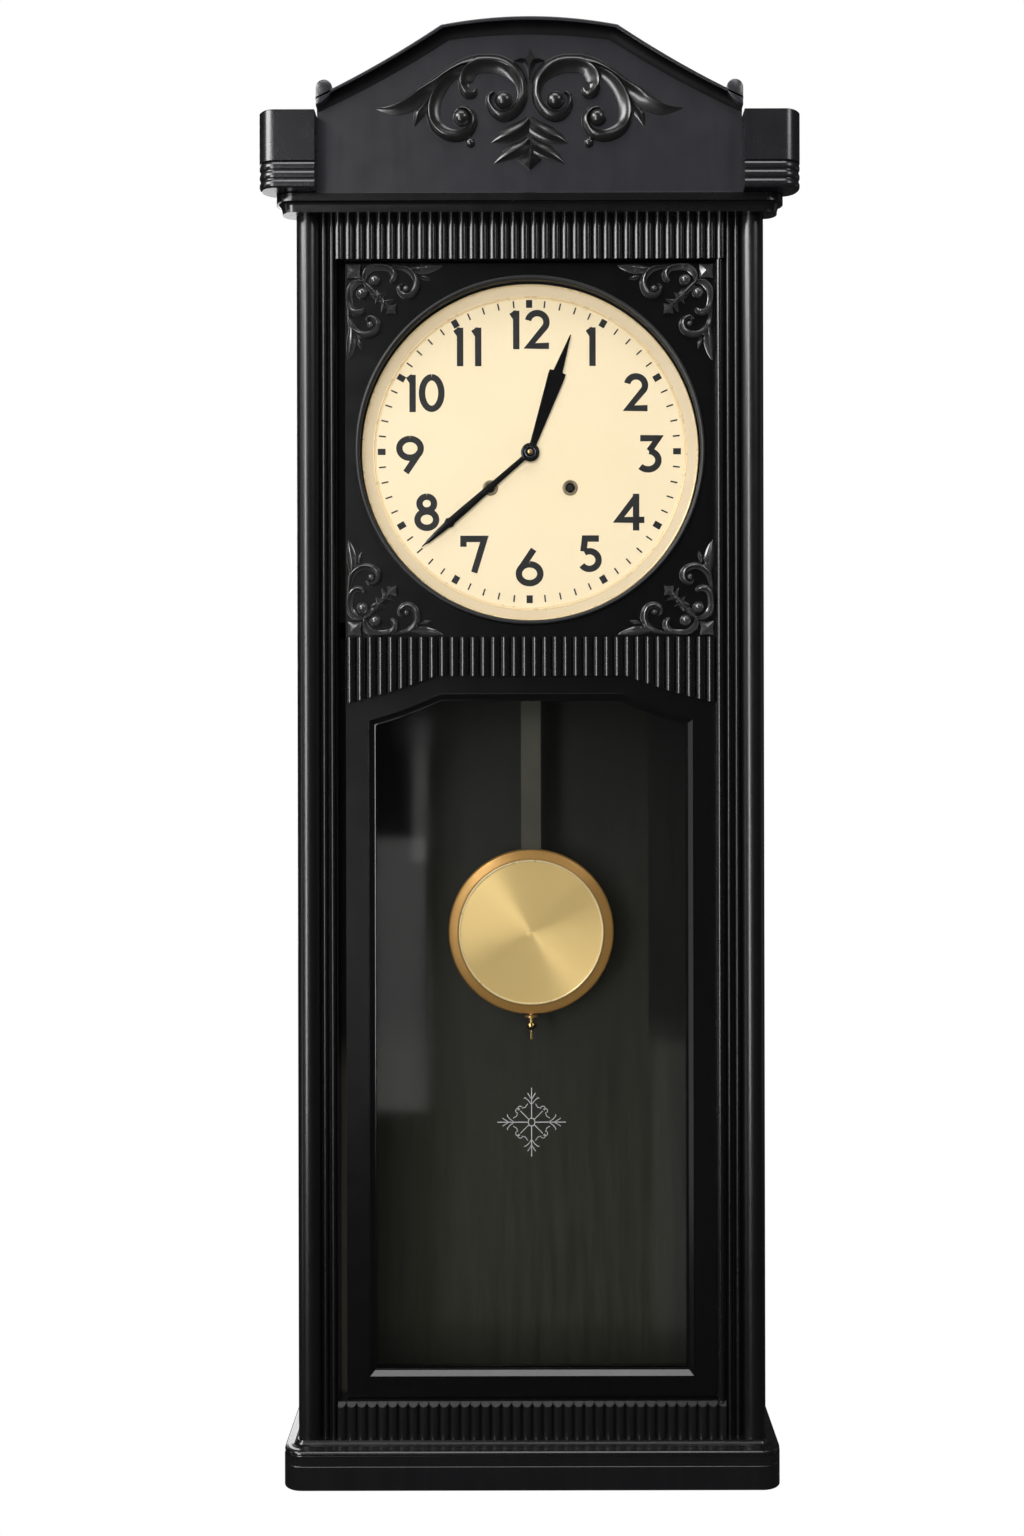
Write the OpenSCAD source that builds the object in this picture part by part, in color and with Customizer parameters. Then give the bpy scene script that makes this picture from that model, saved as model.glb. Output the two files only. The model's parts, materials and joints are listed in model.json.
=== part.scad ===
// Wall clock with a glazed door, a carved crest, a round dial and a long pendulum.
// Black lacquered case with reeded friezes; brass movement with two spring barrels.
// Frame: X to the viewer's right, Y towards the wall, Z up; the wall is the plane y = 0.
// The origin is the centre of the hanging hole on the wall plane.

/* [Case] */
// Width of a pilaster
pilaster_w = 33.5; // [32:0.5:40]
// Radius of a pilaster's round corner column
column_r = 10; // [8:0.5:12]
// Depth of the side boards from the wall
side_depth = 118; // [112:1:140]
// Thickness of the side, top and bottom boards
board_t = 12; // [9:0.5:14]
// Thickness of the back board
back_t = 8; // [5:0.5:10]
// How far the pilasters stand in front of the side boards
pilaster_proj = 22; // [20:0.5:26]
// Distance from the hanging hole down from the cornice
hanger_drop = 40; // [30:1:60]
// Radius of the hanging hole
hanger_r = 5.5; // [4:0.5:7]
// Thickness of the hanging plate
hanger_t = 2; // [1.5:0.25:3]

/* [Plinth] */
// Height of the plinth
plinth_h = 37; // [34:1:44]
// How far the plinth stands out beyond the case
plinth_out = 11; // [8:0.5:16]
// Corner radius of the plinth in plan
corner_r = 16; // [14:0.5:20]
// Width of the plinth frame in plan
plinth_rail = 32; // [28:1:50]

/* [Friezes] */
// Height of the lower frieze
lower_frieze_h = 30; // [26:1:40]
// Height of the upper frieze
upper_frieze_h = 35; // [30:1:45]
// Number of reeds across a frieze
reed_count = 36; // [24:1:48]
// Thickness of a frieze's board
frieze_t = 16; // [14:0.5:18]
// How far the reeds stand out of their board
reed_proj = 4.2; // [3:0.1:4.3]

/* [Cornice and crown] */
// Height of the cornice
cornice_h = 15; // [12:0.5:20]
// How far the cornice stands out beyond the case
cornice_out = 15; // [13:0.5:18]
// Height of the crown blocks
crown_h = 64; // [54:1:80]
// Width of a crown block
crown_w = 47; // [42:1:52]
// How far the crown blocks stand out beyond the case
crown_out = 27; // [24:0.5:32]
// Depth of a crown block
crown_depth = 28; // [24:1:34]
// Height of the crest above the cornice
crest_h = 144; // [130:1:160]
// Width of the cap moulding seen from the front
cap_w = 11; // [8:0.5:14]
// How far the pediment panel stands behind the cornice's front
panel_set_back = 6; // [3:0.5:9]
// Width of the plain fillet along the cap moulding's edge
cap_fillet = 3.1; // [2:0.1:5]
// How far the cap moulding stands in front of the pediment panel
cap_proj = 9; // [6:0.5:12]
// Thickness of the pediment panel
pediment_t = 16; // [12:0.5:20]
// Relief of the carvings
carving_t = 5; // [3:0.25:5.5]

/* [Door] */
// Running gap round the door
door_gap = 1; // [0.8:0.1:1.5]
// Height of the glazed lower frame up to its arched top
lower_frame_h = 608.5; // [580:0.5:640]
// Height of the reeded band above the arch
middle_frieze_h = 32.5; // [26:0.5:40]
// How far the door front lies behind the pilaster fronts
door_recess = 12; // [10:0.5:14]
// Thickness of the door frame
frame_t = 18; // [16:0.5:20]
// Thickness of the panel round the dial
surround_t = 8; // [6:0.25:8.5]
// Width of the door stiles
stile_w = 18.5; // [15:0.5:24]
// Height of the bottom rail
bottom_rail_h = 17; // [14:0.5:24]
// Height of the arched top rail
top_rail_h = 14.5; // [12:0.5:20]
// Fall of the arch from its flat middle to the door edge
arch_drop = 23; // [16:0.5:30]
// Half the width of the arch's flat middle
arch_flat = 80; // [60:1:100]
// Width of the glazing bead
glazing_w = 6.5; // [5:0.5:8]
// Thickness of the glass
glass_t = 3; // [2:0.25:4]
// Radius of the door's pivot pins
pin_r = 1.5; // [1:0.1:2]

/* [Dial] */
// Outer radius of the bezel ring
bezel_r = 147.7; // [140:0.1:150]
// Distance of the bezel's edge from the sides of the door
bezel_side_gap = 8.3; // [7:0.1:14]
// Distance of the bezel's edge from the top and bottom of its panel
bezel_end_gap = 10.3; // [8:0.1:16]
// Width of the bezel ring
bezel_w = 4.2; // [3:0.1:6]
// Width of the dial's sloping rim
dial_rim_w = 10.2; // [6:0.1:14]
// Height of the dial's sloping rim
dial_rim_h = 4.2; // [2:0.1:5]
// Thickness of the dial sheet
dial_t = 1; // [0.6:0.1:2]
// Thickness of the board behind the dial
dial_board_t = 8; // [6:0.5:10]
// Distance from the dial face back from the door front
dial_depth = 14; // [13.5:0.25:16]
// Radius of the winding holes' eyelets
eyelet_r = 6.25; // [5.8:0.05:8]
// Radius of the winding holes
winding_hole_r = 4.1; // [4:0.1:5]

/* [Hands] */
// Distance of the minute hand's tip from the dial's rim
minute_gap = 10.9; // [5:0.1:30]
// Distance of the hour hand's tip from the dial's rim
hour_gap = 26.9; // [20:0.1:50]
// Thickness of a hand
hand_t = 0.8; // [0.5:0.1:1.2]
// Minutes past the hour that the hands show
shown_minutes = 38; // [0:1:59]

/* [Movement] */
// Width of the movement plates
plate_w = 134; // [132:1:150]
// Height of the movement plates
plate_h = 140; // [138:1:160]
// Thickness of the movement plates
plate_t = 2; // [1.5:0.1:2.5]
// Clear depth between the movement plates
plate_gap = 36; // [35:0.5:40]
// Distance between the dial board and the front plate
motion_gap = 7; // [6.8:0.1:9]
// Distance of a winding arbor to the side of the centre
winding_x = 34; // [33:0.25:38]
// Distance of a winding arbor below the centre
winding_drop = 29.5; // [28:0.25:34]
// Radius of the spring barrels
barrel_r = 28; // [24:0.5:29]
// Radius of the winding arbors
winding_r = 4; // [3.8:0.1:4.5]
// Running clearance on every pivot
running_fit = 0.05; // [0.02:0.01:0.08]
// Distance of the pendulum suspension above the dial centre
suspension_rise = 62; // [60:0.5:66]

/* [Pendulum] */
// Length from the suspension to the middle of the bob
pendulum_len = 478; // [420:1:520]
// Width of the pendulum rod
rod_w = 17.6; // [12:0.2:22]
// Thickness of the pendulum rod
rod_t = 5; // [3:0.25:7]
// Radius of the bob
bob_r = 74; // [50:1:85]
// Thickness of the bob at its middle
bob_t = 16; // [10:0.5:22]
// Width of the bob's rim outside its face
bob_rim = 10.5; // [5:0.5:14]
// Distance from the wall to the middle of the pendulum
pendulum_y = 46; // [42:0.5:48]

/* [Gong] */
// Outer radius of the coiled gong
gong_r = 50; // [44:1:54]
// Turns of the gong
gong_turns = 3; // [2:0.5:4]
// Distance of the gong's centre below the dial centre
gong_drop = 107; // [104:1:112]

/* [Hidden] */
$fn = 96;

// Sizes that follow the dial's bezel
bead_r = 3;
door_x = bezel_r + bezel_side_gap;
door_w = 2 * door_x;
dial_panel_h = 2 * (bezel_r + bezel_end_gap);
pilaster_x = door_x + 2 * bead_r + door_gap;
case_x = pilaster_x + pilaster_w;
case_w = 2 * case_x;
rim_r = bezel_r - bezel_w - 0.4;
dial_face_r = rim_r - dial_rim_w;
minute_len = dial_face_r - minute_gap;
hour_len = dial_face_r - hour_gap;

// Heights above the plinth's underside
case_z0 = plinth_h;
door_z0 = case_z0 + lower_frieze_h + door_gap;
arch_z = door_z0 + lower_frame_h;
panel_z0 = arch_z + middle_frieze_h;
door_z1 = panel_z0 + dial_panel_h;
case_z1 = door_z1 + door_gap + upper_frieze_h;
crown_z = case_z1 + cornice_h;
hang_z = case_z1 - hanger_drop;
dial_z = (panel_z0 + door_z1) / 2;
suspension_z = dial_z + suspension_rise;
bob_z = suspension_z - pendulum_len;

// Depths, front faces as negative y
front_y = -side_depth - pilaster_proj;
door_y = front_y + door_recess;
door_back_y = door_y + frame_t;
back_y = -hanger_t - back_t;
dial_y = door_y + dial_depth;
board_y = dial_y + dial_t;
board_back_y = board_y + dial_board_t;
front_plate_y = board_back_y + motion_gap;
back_plate_y = front_plate_y + plate_t + plate_gap;
plate_back_y = back_plate_y + plate_t;
reed_y = -side_depth - frieze_t;
panel_y = front_y - cornice_out + panel_set_back;

// Door pivot
pivot_x = door_x + bead_r;
pivot_y = door_y - 6;
pin_in_door = 9;
pin_in_frieze = 12;

// Train: tooth counts and modules of each mesh
great_teeth = 60;
second_pinion_teeth = 10;
great_module = 1;
second_teeth = 64;
center_pinion_teeth = 8;
second_module = 0.8;
center_teeth = 72;
third_pinion_teeth = 8;
center_module = 0.6;
third_teeth = 77;
escape_pinion_teeth = 8;
third_module = 0.5;
escape_teeth = 30;
cannon_teeth = 12;
minute_wheel_teeth = 36;
cannon_module = 0.75;
minute_pinion_teeth = 10;
hour_teeth = 40;
hour_module = 0.72;

// Places of the arbors seen from the front, with the dial centre at [0, 0]
function spacing(a, b, m) = m * (a + b) / 2;
function unit(v) = v / norm(v);
function heading(a, b) = atan2(b[1] - a[1], b[0] - a[0]);
// Point at distance ra from a and rb from b, on the left of the line from a to b
function meet(a, ra, b, rb) =
    let (d = norm(b - a), u = unit(b - a), s = (ra * ra - rb * rb + d * d) / (2 * d))
    a + s * u + sqrt(ra * ra - s * s) * [-u[1], u[0]];
// Tooth angle of a wheel at b that meshes with a wheel at a whose teeth stand at angle t
function mesh(a, na, t, b, nb) =
    heading(a, b) + 180 + 180 / nb - (t - heading(a, b)) * na / nb;

center_p = [0, 0];
time_p = [winding_x, -winding_drop];
strike_p = [-winding_x, -winding_drop];
second_p = meet(center_p, spacing(second_teeth, center_pinion_teeth, second_module),
    time_p, spacing(great_teeth, second_pinion_teeth, great_module));
anchor_p = [0, suspension_rise];
escape_r = 17;
escape_p = anchor_p - [0, escape_r * 1.5];
third_p = meet(center_p, spacing(center_teeth, third_pinion_teeth, center_module),
    escape_p, spacing(third_teeth, escape_pinion_teeth, third_module));
minute_wheel_p = [0, spacing(cannon_teeth, minute_wheel_teeth, cannon_module)];
gong_p = [0, -gong_drop];
hammer_p = [-plate_w / 2 + 5, -22];

second_t = mesh(center_p, center_pinion_teeth, 0, second_p, second_teeth);
great_t = mesh(second_p, second_pinion_teeth, second_t, time_p, great_teeth);
third_t = mesh(center_p, center_teeth, 0, third_p, third_pinion_teeth);
escape_t = mesh(third_p, third_teeth, third_t, escape_p, escape_pinion_teeth);
minute_wheel_t = mesh(center_p, cannon_teeth, 0, minute_wheel_p, minute_wheel_teeth);
hour_wheel_t = mesh(minute_wheel_p, minute_pinion_teeth, minute_wheel_t, center_p, hour_teeth);

// Hands: degrees clockwise from twelve
minute_angle = shown_minutes * 6;
hour_angle = shown_minutes / 2;

// Moves a piece from plinth heights to the hanging hole
module hung() {
    translate([0, 0, -hang_z]) children();
}

// Places a drawing in the dial's plane at depth y, extruded towards the viewer
module facing(y, z = dial_z) {
    translate([0, y, z]) rotate([90, 0, 0]) children();
}

// Drum or disc on an arbor at p, from depth y0 at its back to y1 at its front
module disc(p, r, y0, y1) {
    facing(y0) translate([p[0], p[1], 0]) cylinder(r = r, h = y0 - y1);
}

// Wheel outline with straight flanks up to the pitch line and a narrowed tip
function tooth(n, m, root, thick, tip, tip_thick) =
    let (r = n * m / 2)
    [[r - root * m, -thick * 1.05], [r, -thick], [r + tip * m, -tip_thick],
        [r + tip * m, tip_thick], [r, thick], [r - root * m, thick * 1.05]];
module toothed(n, m, root, thick, tip, tip_thick) {
    p = 360 / n;
    t = tooth(n, m, root, thick, tip, tip_thick);
    polygon([for (k = [0:n - 1]) for (q = t) let (a = p * (k + q[1])) [q[0] * cos(a), q[0] * sin(a)]]);
}
module wheel_outline(n, m) {
    toothed(n, m, 1.4, 0.21, 0.85, 0.08);
}
module pinion_outline(n, m) {
    toothed(n, m, 1.3, 0.16, 0.5, 0.09);
}

// Spoked wheel at p: rim, crossings and a hub with room for its arbor
module train_wheel(p, n, m, t, y0, y1, spokes, hub_r) {
    r_in = n * m / 2 - 1.4 * m - 2.2;
    facing(y0) translate([p[0], p[1], 0]) rotate([0, 0, t])
        linear_extrude(y0 - y1) union() {
            difference() {
                wheel_outline(n, m);
                circle(r = r_in);
            }
            circle(r = hub_r);
            for (k = [0:spokes - 1]) rotate(k * 360 / spokes) translate([0, -1]) square([r_in + 0.5, 2]);
        }
}
module train_pinion(p, n, m, t, y0, y1) {
    facing(y0) translate([p[0], p[1], 0]) rotate([0, 0, t])
        linear_extrude(y0 - y1) pinion_outline(n, m);
}

// Smooth curve through control points [x, z, half width], n steps between neighbours
function blend(a, b, c, d, t) =
    0.5 * (2 * b + (c - a) * t + (2 * a - 5 * b + 4 * c - d) * t * t + (3 * b - a - 3 * c + d) * t * t * t);
function curve(p, n) = let (last = len(p) - 1) concat(
    [for (i = [0:last - 1]) for (k = [0:n - 1])
        blend(p[max(i - 1, 0)], p[i], p[i + 1], p[min(i + 2, last)], k / n)],
    [p[last]]);
function beside(p, i, s) =
    let (a = p[max(i - 1, 0)], b = p[min(i + 1, len(p) - 1)], d = unit([b[0] - a[0], b[1] - a[1]]))
    [p[i][0] - s * d[1] * p[i][2], p[i][1] + s * d[0] * p[i][2]];
// Outline of a carved band whose width changes along its curve
module band(controls, n) {
    p = curve(controls, n);
    last = len(p) - 1;
    polygon(concat([for (i = [0:last]) beside(p, i, 1)], [for (i = [last:-1:0]) beside(p, i, -1)]));
}

// Three sides of a frame in plan, mitred round at the front corners.
// The section is drawn as [distance outwards from the corner centre, height].
module returned_moulding(half_w, front, r, section) {
    run_x = half_w - r;
    run_y = front + r;
    translate([-run_x, run_y, 0]) rotate([90, 0, 90]) linear_extrude(2 * run_x)
        polygon([for (q = section) [-q[0], q[1]]]);
    for (s = [-1, 1]) {
        translate([s * run_x, 0, 0]) rotate([90, 0, 0]) linear_extrude(-run_y)
            polygon([for (q = section) [s * q[0], q[1]]]);
        translate([s * run_x, run_y, 0]) rotate([0, 0, s > 0 ? -90 : 180])
            rotate_extrude(angle = 90) polygon(section);
    }
}

// Flat frame in plan behind a returned moulding, open towards the wall
module backing_frame(half_w, front, r, rail, z0, z1) {
    x = half_w - r;
    y = front + r;
    translate([-x, y, z0]) cube([2 * x, rail - r, z1 - z0]);
    for (s = [-1, 1]) translate([s > 0 ? x - (rail - r) : -x, y, z0]) cube([rail - r, -y, z1 - z0]);
}

// Row of half-round reeds in plan on the front of a board
module reed_plan(x0, x1, y_board, y_back) {
    pitch = 2 * door_x / reed_count;
    translate([x0, y_board]) square([x1 - x0, y_back - y_board]);
    intersection() {
        translate([x0, y_board - pitch]) square([x1 - x0, pitch + 1]);
        for (k = [-1:reed_count]) translate([-door_x + (k + 0.5) * pitch, y_board])
            scale([1, reed_proj / 4.2]) circle(r = min(pitch / 2 - 0.13, 4.2));
    }
}

// Arched outline of the lower door frame: flat in the middle, falling to both sides
function arch_side(s, x_end, x_flat, z, drop) = [for (k = [0:8]) let (t = k / 8)
    [s * (x_flat + (x_end - x_flat) * t), z - drop * t - 6 * t * (1 - t)]];
module arch_area(z0, x_end, x_flat, z, drop) {
    rise = arch_side(1, x_end, x_flat, z, drop);
    fall = arch_side(-1, x_end, x_flat, z, drop);
    polygon(concat([[-x_end, z0], [x_end, z0]], [for (k = [8:-1:0]) rise[k]], fall));
}
module frame_area(z0) {
    arch_area(z0, door_x, arch_flat, arch_z, arch_drop);
}
module light_area(inset, z0) {
    x = door_x - stile_w - inset;
    arch_area(z0, x, arch_flat - 3 - inset / 2, arch_z - top_rail_h - inset, arch_drop - 1);
}

// Case

module back_board() {
    color("#241a14") hung() difference() {
        translate([-case_x + board_t, back_y, case_z0])
            cube([case_w - 2 * board_t, back_t, case_z1 - case_z0]);
        translate([0, 1, hang_z]) rotate([90, 0, 0]) cylinder(r = hanger_r + 4, h = 30);
    }
}

module side_board(s) {
    translate([s > 0 ? case_x - board_t : -case_x, -side_depth, case_z0])
        cube([board_t, side_depth, case_z1 - case_z0]);
}
module left_side_board() {
    color("#17171a") hung() side_board(-1);
}
module right_side_board() {
    color("#17171a") hung() side_board(1);
}

module inner_shelf(z) {
    translate([-case_x + board_t, -side_depth, z])
        cube([case_w - 2 * board_t, side_depth + back_y, board_t]);
}
module top_board() {
    color("#17171a") hung() inner_shelf(case_z1 - board_t);
}
module bottom_board() {
    color("#17171a") hung() inner_shelf(case_z0);
}

hanger_w = 40;
hanger_h = 34;
hanger_top = 12;
module hanger_plate() {
    color("#b08d57") hung() difference() {
        translate([-hanger_w / 2, -hanger_t, hang_z + hanger_top - hanger_h])
            cube([hanger_w, hanger_t, hanger_h]);
        facing(1, hang_z) {
            cylinder(r = hanger_r, h = hanger_t + 2);
            for (s = [-1, 1]) translate([s * 13, -15, 0]) cylinder(r = 1.8, h = hanger_t + 2);
        }
    }
}

// Plinth: two plain steps with a fine groove, then a swept moulding up to the case
plinth_step = 0.5;
plinth_block_h = plinth_h - 9;
groove_z = plinth_block_h - 8.5;
module plinth_block() {
    color("#17171a") hung() {
        returned_moulding(case_x + plinth_out, front_y - plinth_out, corner_r,
            [[0, 0], [corner_r, 0], [corner_r, groove_z], [corner_r - plinth_step, groove_z + 0.5],
                [corner_r, groove_z + 1], [corner_r, plinth_block_h], [0, plinth_block_h]]);
        backing_frame(case_x + plinth_out, front_y - plinth_out, corner_r, plinth_rail, 0, plinth_block_h);
    }
}
module plinth_moulding() {
    z0 = plinth_block_h;
    fall = plinth_out - 3;
    // One bead, one hollow and a small fillet under the case
    section = concat(
        [[0, z0], [corner_r - 1, z0]],
        [for (a = [-60:30:60]) [corner_r - 2.2 + 2 * cos(a), z0 + 2.1 + 2 * sin(a)]],
        [for (a = [0:18:90]) [corner_r - 3 - fall * sin(a), z0 + 9 - 4.6 * cos(a)]],
        [[0, z0 + 9]]);
    color("#17171a") hung() {
        returned_moulding(case_x + plinth_out, front_y - plinth_out, corner_r, section);
        backing_frame(case_x + plinth_out, front_y - plinth_out, corner_r, plinth_rail, z0, plinth_h);
    }
}

// Bores of the door pins in a frieze
pin_low_z = case_z0 + lower_frieze_h - 2 - pin_in_frieze;
module pin_bore(z, h) {
    translate([pivot_x, pivot_y, z]) cylinder(r = pin_r, h = h);
}

module lower_frieze() {
    color("#17171a") hung() difference() {
        translate([0, 0, case_z0]) linear_extrude(lower_frieze_h)
            reed_plan(-pilaster_x, pilaster_x, reed_y, -side_depth);
        // Sloping ledge that gives each reed a scalloped end
        translate([-case_x, reed_y, case_z0 + lower_frieze_h]) rotate([38, 0, 0])
            translate([0, -lower_frieze_h, 0]) cube([case_w, lower_frieze_h, lower_frieze_h]);
        pin_bore(pin_low_z, pin_in_frieze + 3);
    }
}

module upper_frieze() {
    color("#17171a") hung() difference() {
        translate([0, 0, door_z1 + door_gap]) linear_extrude(upper_frieze_h)
            reed_plan(-pilaster_x, pilaster_x, reed_y, -side_depth);
        pin_bore(door_z1, door_gap + pin_in_frieze);
    }
}

// Pilaster in plan: a round column on the outer edge and two slender reeds beside it
module pilaster_plan() {
    pitch = (pilaster_w - 2 * column_r) / 2;
    y_board = front_y + column_r;
    translate([pilaster_x, y_board]) square([pilaster_w - column_r, -side_depth - y_board]);
    translate([case_x - column_r, y_board]) circle(r = column_r);
    translate([case_x - column_r, y_board]) square([column_r, -side_depth - y_board]);
    for (k = [0:1]) translate([pilaster_x + (k + 0.5) * pitch, y_board])
        scale([1, 2.2]) circle(r = pitch / 2 - 0.6);
}
module pilaster_shaft() {
    translate([0, 0, case_z0]) linear_extrude(case_z1 - case_z0) pilaster_plan();
}
module pilasters() {
    color("#17171a") hung() {
        pilaster_shaft();
        mirror([1, 0, 0]) pilaster_shaft();
    }
}

// Posts behind the pilasters, with a stop for the door on its opening side
post_back_y = board_back_y + 4;
stop_y = door_back_y + 0.6;
stop_lap = 9;
catch_r = 3;
catch_x = -door_x + 4.5;
magnet_z = door_z0 + lower_frame_h / 2;
module door_posts() {
    z0 = case_z0 + board_t;
    h = case_z1 - case_z0 - 2 * board_t;
    color("#17171a") hung() {
        for (s = [-1, 1]) translate([s > 0 ? pilaster_x : -case_x + board_t, -side_depth, z0])
            cube([case_x - board_t - pilaster_x, side_depth + post_back_y, h]);
        difference() {
            translate([-pilaster_x, stop_y, z0])
                cube([pilaster_x - door_x + stop_lap, post_back_y - stop_y, panel_z0 - z0]);
            translate([catch_x, stop_y + 6, magnet_z]) rotate([90, 0, 0]) cylinder(r = catch_r, h = 20);
        }
    }
}
module catch_magnet() {
    color("#6d6f73") hung() translate([catch_x, stop_y + 6, magnet_z])
        rotate([90, 0, 0]) cylinder(r = catch_r, h = 6);
}

// Front moulding whose ends turn round in plan; the section is drawn as
// [distance from the middle line of the moulding, height]
module bullnosed_moulding(half_w, front, r, section) {
    run_x = half_w - r;
    translate([0, front + r, 0]) {
        translate([-run_x, 0, 0]) rotate([90, 0, 90]) linear_extrude(2 * run_x)
            polygon([for (q = section) [-q[0], q[1]]]);
        for (s = [-1, 1]) translate([s * run_x, 0, 0]) rotate([0, 0, -s * 90])
            rotate_extrude(angle = 180) polygon(section);
    }
}

// Cornice: a hollow under a plain fillet, on a frame that is flush with the case
cornice_rail = 58;
module cornice_moulding() {
    r = cornice_out;
    z0 = case_z1;
    bed = r - 5;
    rise = cornice_h * 0.53;
    section = concat(
        [[0, z0], [bed, z0]],
        [for (a = [15:15:75]) [bed + 4 * (1 - cos(a)), z0 + rise * sin(a)]],
        [[r - 1, z0 + rise], [r, z0 + rise], [r, z0 + cornice_h - 0.8], [r - 0.8, z0 + cornice_h],
            [0, z0 + cornice_h]]);
    y = front_y - cornice_out + r;
    color("#17171a") hung() {
        bullnosed_moulding(case_x + cornice_out, front_y - cornice_out, r, section);
        translate([-case_x, y, z0]) cube([case_w, cornice_rail - r, cornice_h]);
        for (s = [-1, 1]) translate([s > 0 ? case_x - board_t : -case_x, y, z0])
            cube([board_t, -y, cornice_h]);
    }
}

// Crown block: three beads at its foot, a plain body and a round outer end
crown_x = case_x + crown_out;
crown_y = front_y - crown_out;
crest_x = crown_x - crown_w;
bead_pitch = 7.2;
module crown_block() {
    beads = 3;
    bead_bulge = 2;
    edge = 1;
    r = crown_depth / 2;
    body_z = beads * bead_pitch;
    section = concat([[r - bead_bulge, 0]],
        [for (k = [0:beads - 1]) for (a = [-80:32:80])
            [r - bead_bulge * (1 - cos(a)), bead_pitch * (k + 0.5 + 0.46 * sin(a))]],
        [[r - bead_bulge, body_z], [r, body_z + edge / 2], [r, crown_h - edge], [r - edge, crown_h]]);
    translate([0, crown_y + r, crown_z]) {
        translate([crest_x, 0, 0]) rotate([90, 0, 90]) linear_extrude(crown_w - r)
            polygon(concat(section, [for (k = [len(section) - 1:-1:0]) [-section[k][0], section[k][1]]]));
        translate([crown_x - r, 0, 0]) rotate([0, 0, -90]) rotate_extrude(angle = 180)
            polygon(concat(section, [[0, crown_h], [0, section[0][1]]]));
    }
}
module left_crown_block() {
    color("#17171a") hung() mirror([1, 0, 0]) crown_block();
}
module right_crown_block() {
    color("#17171a") hung() crown_block();
}

// Crest outline from its middle to the right: low arch, hollow slope, then a round ear.
// d shrinks the outline inwards; heights are above the cornice.
crest_bow_x = 73;
crest_bow_drop = 7;
ear_r = 6.8;
ear_z = crown_h + 28;
function crest_side(s, d) =
    let (bow_x = crest_bow_x - d * 0.55, bow_z = crest_h - crest_bow_drop - d * 0.8,
        end_x = crest_x - (d > 0 ? 0 : 2 * ear_r), end_z = ear_z - (d > 0 ? 12 + d * 0.9 : 10))
    concat([for (k = [0:8]) let (t = k / 8) [s * bow_x * t, crest_h - d - (crest_h - d - bow_z) * t * t]],
        [for (k = [1:8]) let (t = k / 8)
            [s * (bow_x + (end_x - bow_x) * t), bow_z + (end_z - bow_z) * t - 10 * t * (1 - t)]],
        d > 0 ? [] : [[s * (crest_x - 2 * ear_r), ear_z - ear_r], [s * crest_x, ear_z - ear_r]]);
function backwards(v) = [for (i = [len(v) - 1:-1:0]) v[i]];
module crest_area(d) {
    polygon(concat([[-crest_x, 0], [crest_x, 0]], backwards(crest_side(1, d)), crest_side(-1, d)));
}
module pediment_panel() {
    color("#1d1d21") hung() facing(panel_y + pediment_t, crown_z) linear_extrude(pediment_t) crest_area(cap_w);
}
// Cap: a plain fillet along the edge, then a hollow that falls back to the panel in steps
module crest_moulding() {
    back = panel_y + pediment_t;
    steps = 4;
    hollow_w = cap_w - cap_fillet;
    color("#17171a") hung() facing(back, crown_z) for (k = [0:steps]) let (t = k / steps)
        linear_extrude(pediment_t + (k == 0 ? cap_proj : cap_proj * (1 - sin(90 * t)) + 0.6)) difference() {
            union() {
                crest_area(0);
                for (s = [-1, 1]) translate([s * (crest_x - ear_r), ear_z - ear_r]) circle(r = ear_r);
            }
            crest_area(cap_fillet + hollow_w * t);
            translate([-crest_x - 1, -1]) square([2 * crest_x + 2, crown_h + 1]);
        }
}

// Crest carving, right half, as bands [x, height above the cornice, half width],
// drawn for a crest of the size below and stretched with it
crest_drawn = [174.9, 140.8];
carving_rise = 1.9;
crest_k = [crest_x / crest_drawn[0], crest_h / crest_drawn[1], crest_h / crest_drawn[1]];
function stretched(b, k) = [for (q = b) [for (i = [0:len(q) - 1]) q[i] * k[i]]];
leaf_band = [[127, 66, 0.3], [110, 67, 3.6], [97, 73.7, 4.8], [83, 83.2, 4.2], [70.6, 92.8, 3.6],
    [57.6, 101.4, 3.3], [44.6, 106.2, 3.3], [34.2, 107.3, 3.3], [22.1, 104.9, 3.5], [11.9, 97.1, 3.6],
    [5.6, 85.8, 3.5], [5, 73.7, 3.4], [10, 63.3, 3.2], [21.3, 59.6, 2.8], [30.8, 62.5, 2.3],
    [34.7, 70.3, 1.9], [32.5, 77.2, 1.3]];
hook_band = [[40, 102.5, 2.6], [48.1, 98.4, 3.4], [54.6, 90.2, 3.1], [54.2, 80.6, 2.9], [49.4, 76.3, 2.4],
    [44.6, 78.5, 1.2]];
scroll_band = [[54, 101.9, 1.8], [65.4, 93.6, 3.4], [75.8, 81.5, 4.3], [80.1, 66.8, 4.5], [77.5, 53.8, 4.1],
    [68.9, 44.3, 3.6], [57.6, 41.7, 3.1], [49, 46, 2.9], [45.5, 54.7, 2.6], [48.1, 63.3, 2.2],
    [55.9, 66.8, 1.4]];
leaflet_band = [[82.7, 75.5, 1.7], [90.5, 63.3, 3.4], [96.6, 50.8, 0.3]];
upper_acanthus = [[0, 62.5, 1.2], [10, 48.6, 4.3], [19.5, 43.9, 4.6], [32.5, 36.5, 0.3]];
lower_acanthus = [[0, 44.3, 1.2], [8.3, 34.8, 3.9], [18.7, 28.3, 4], [29.9, 20.9, 0.3]];
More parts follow.
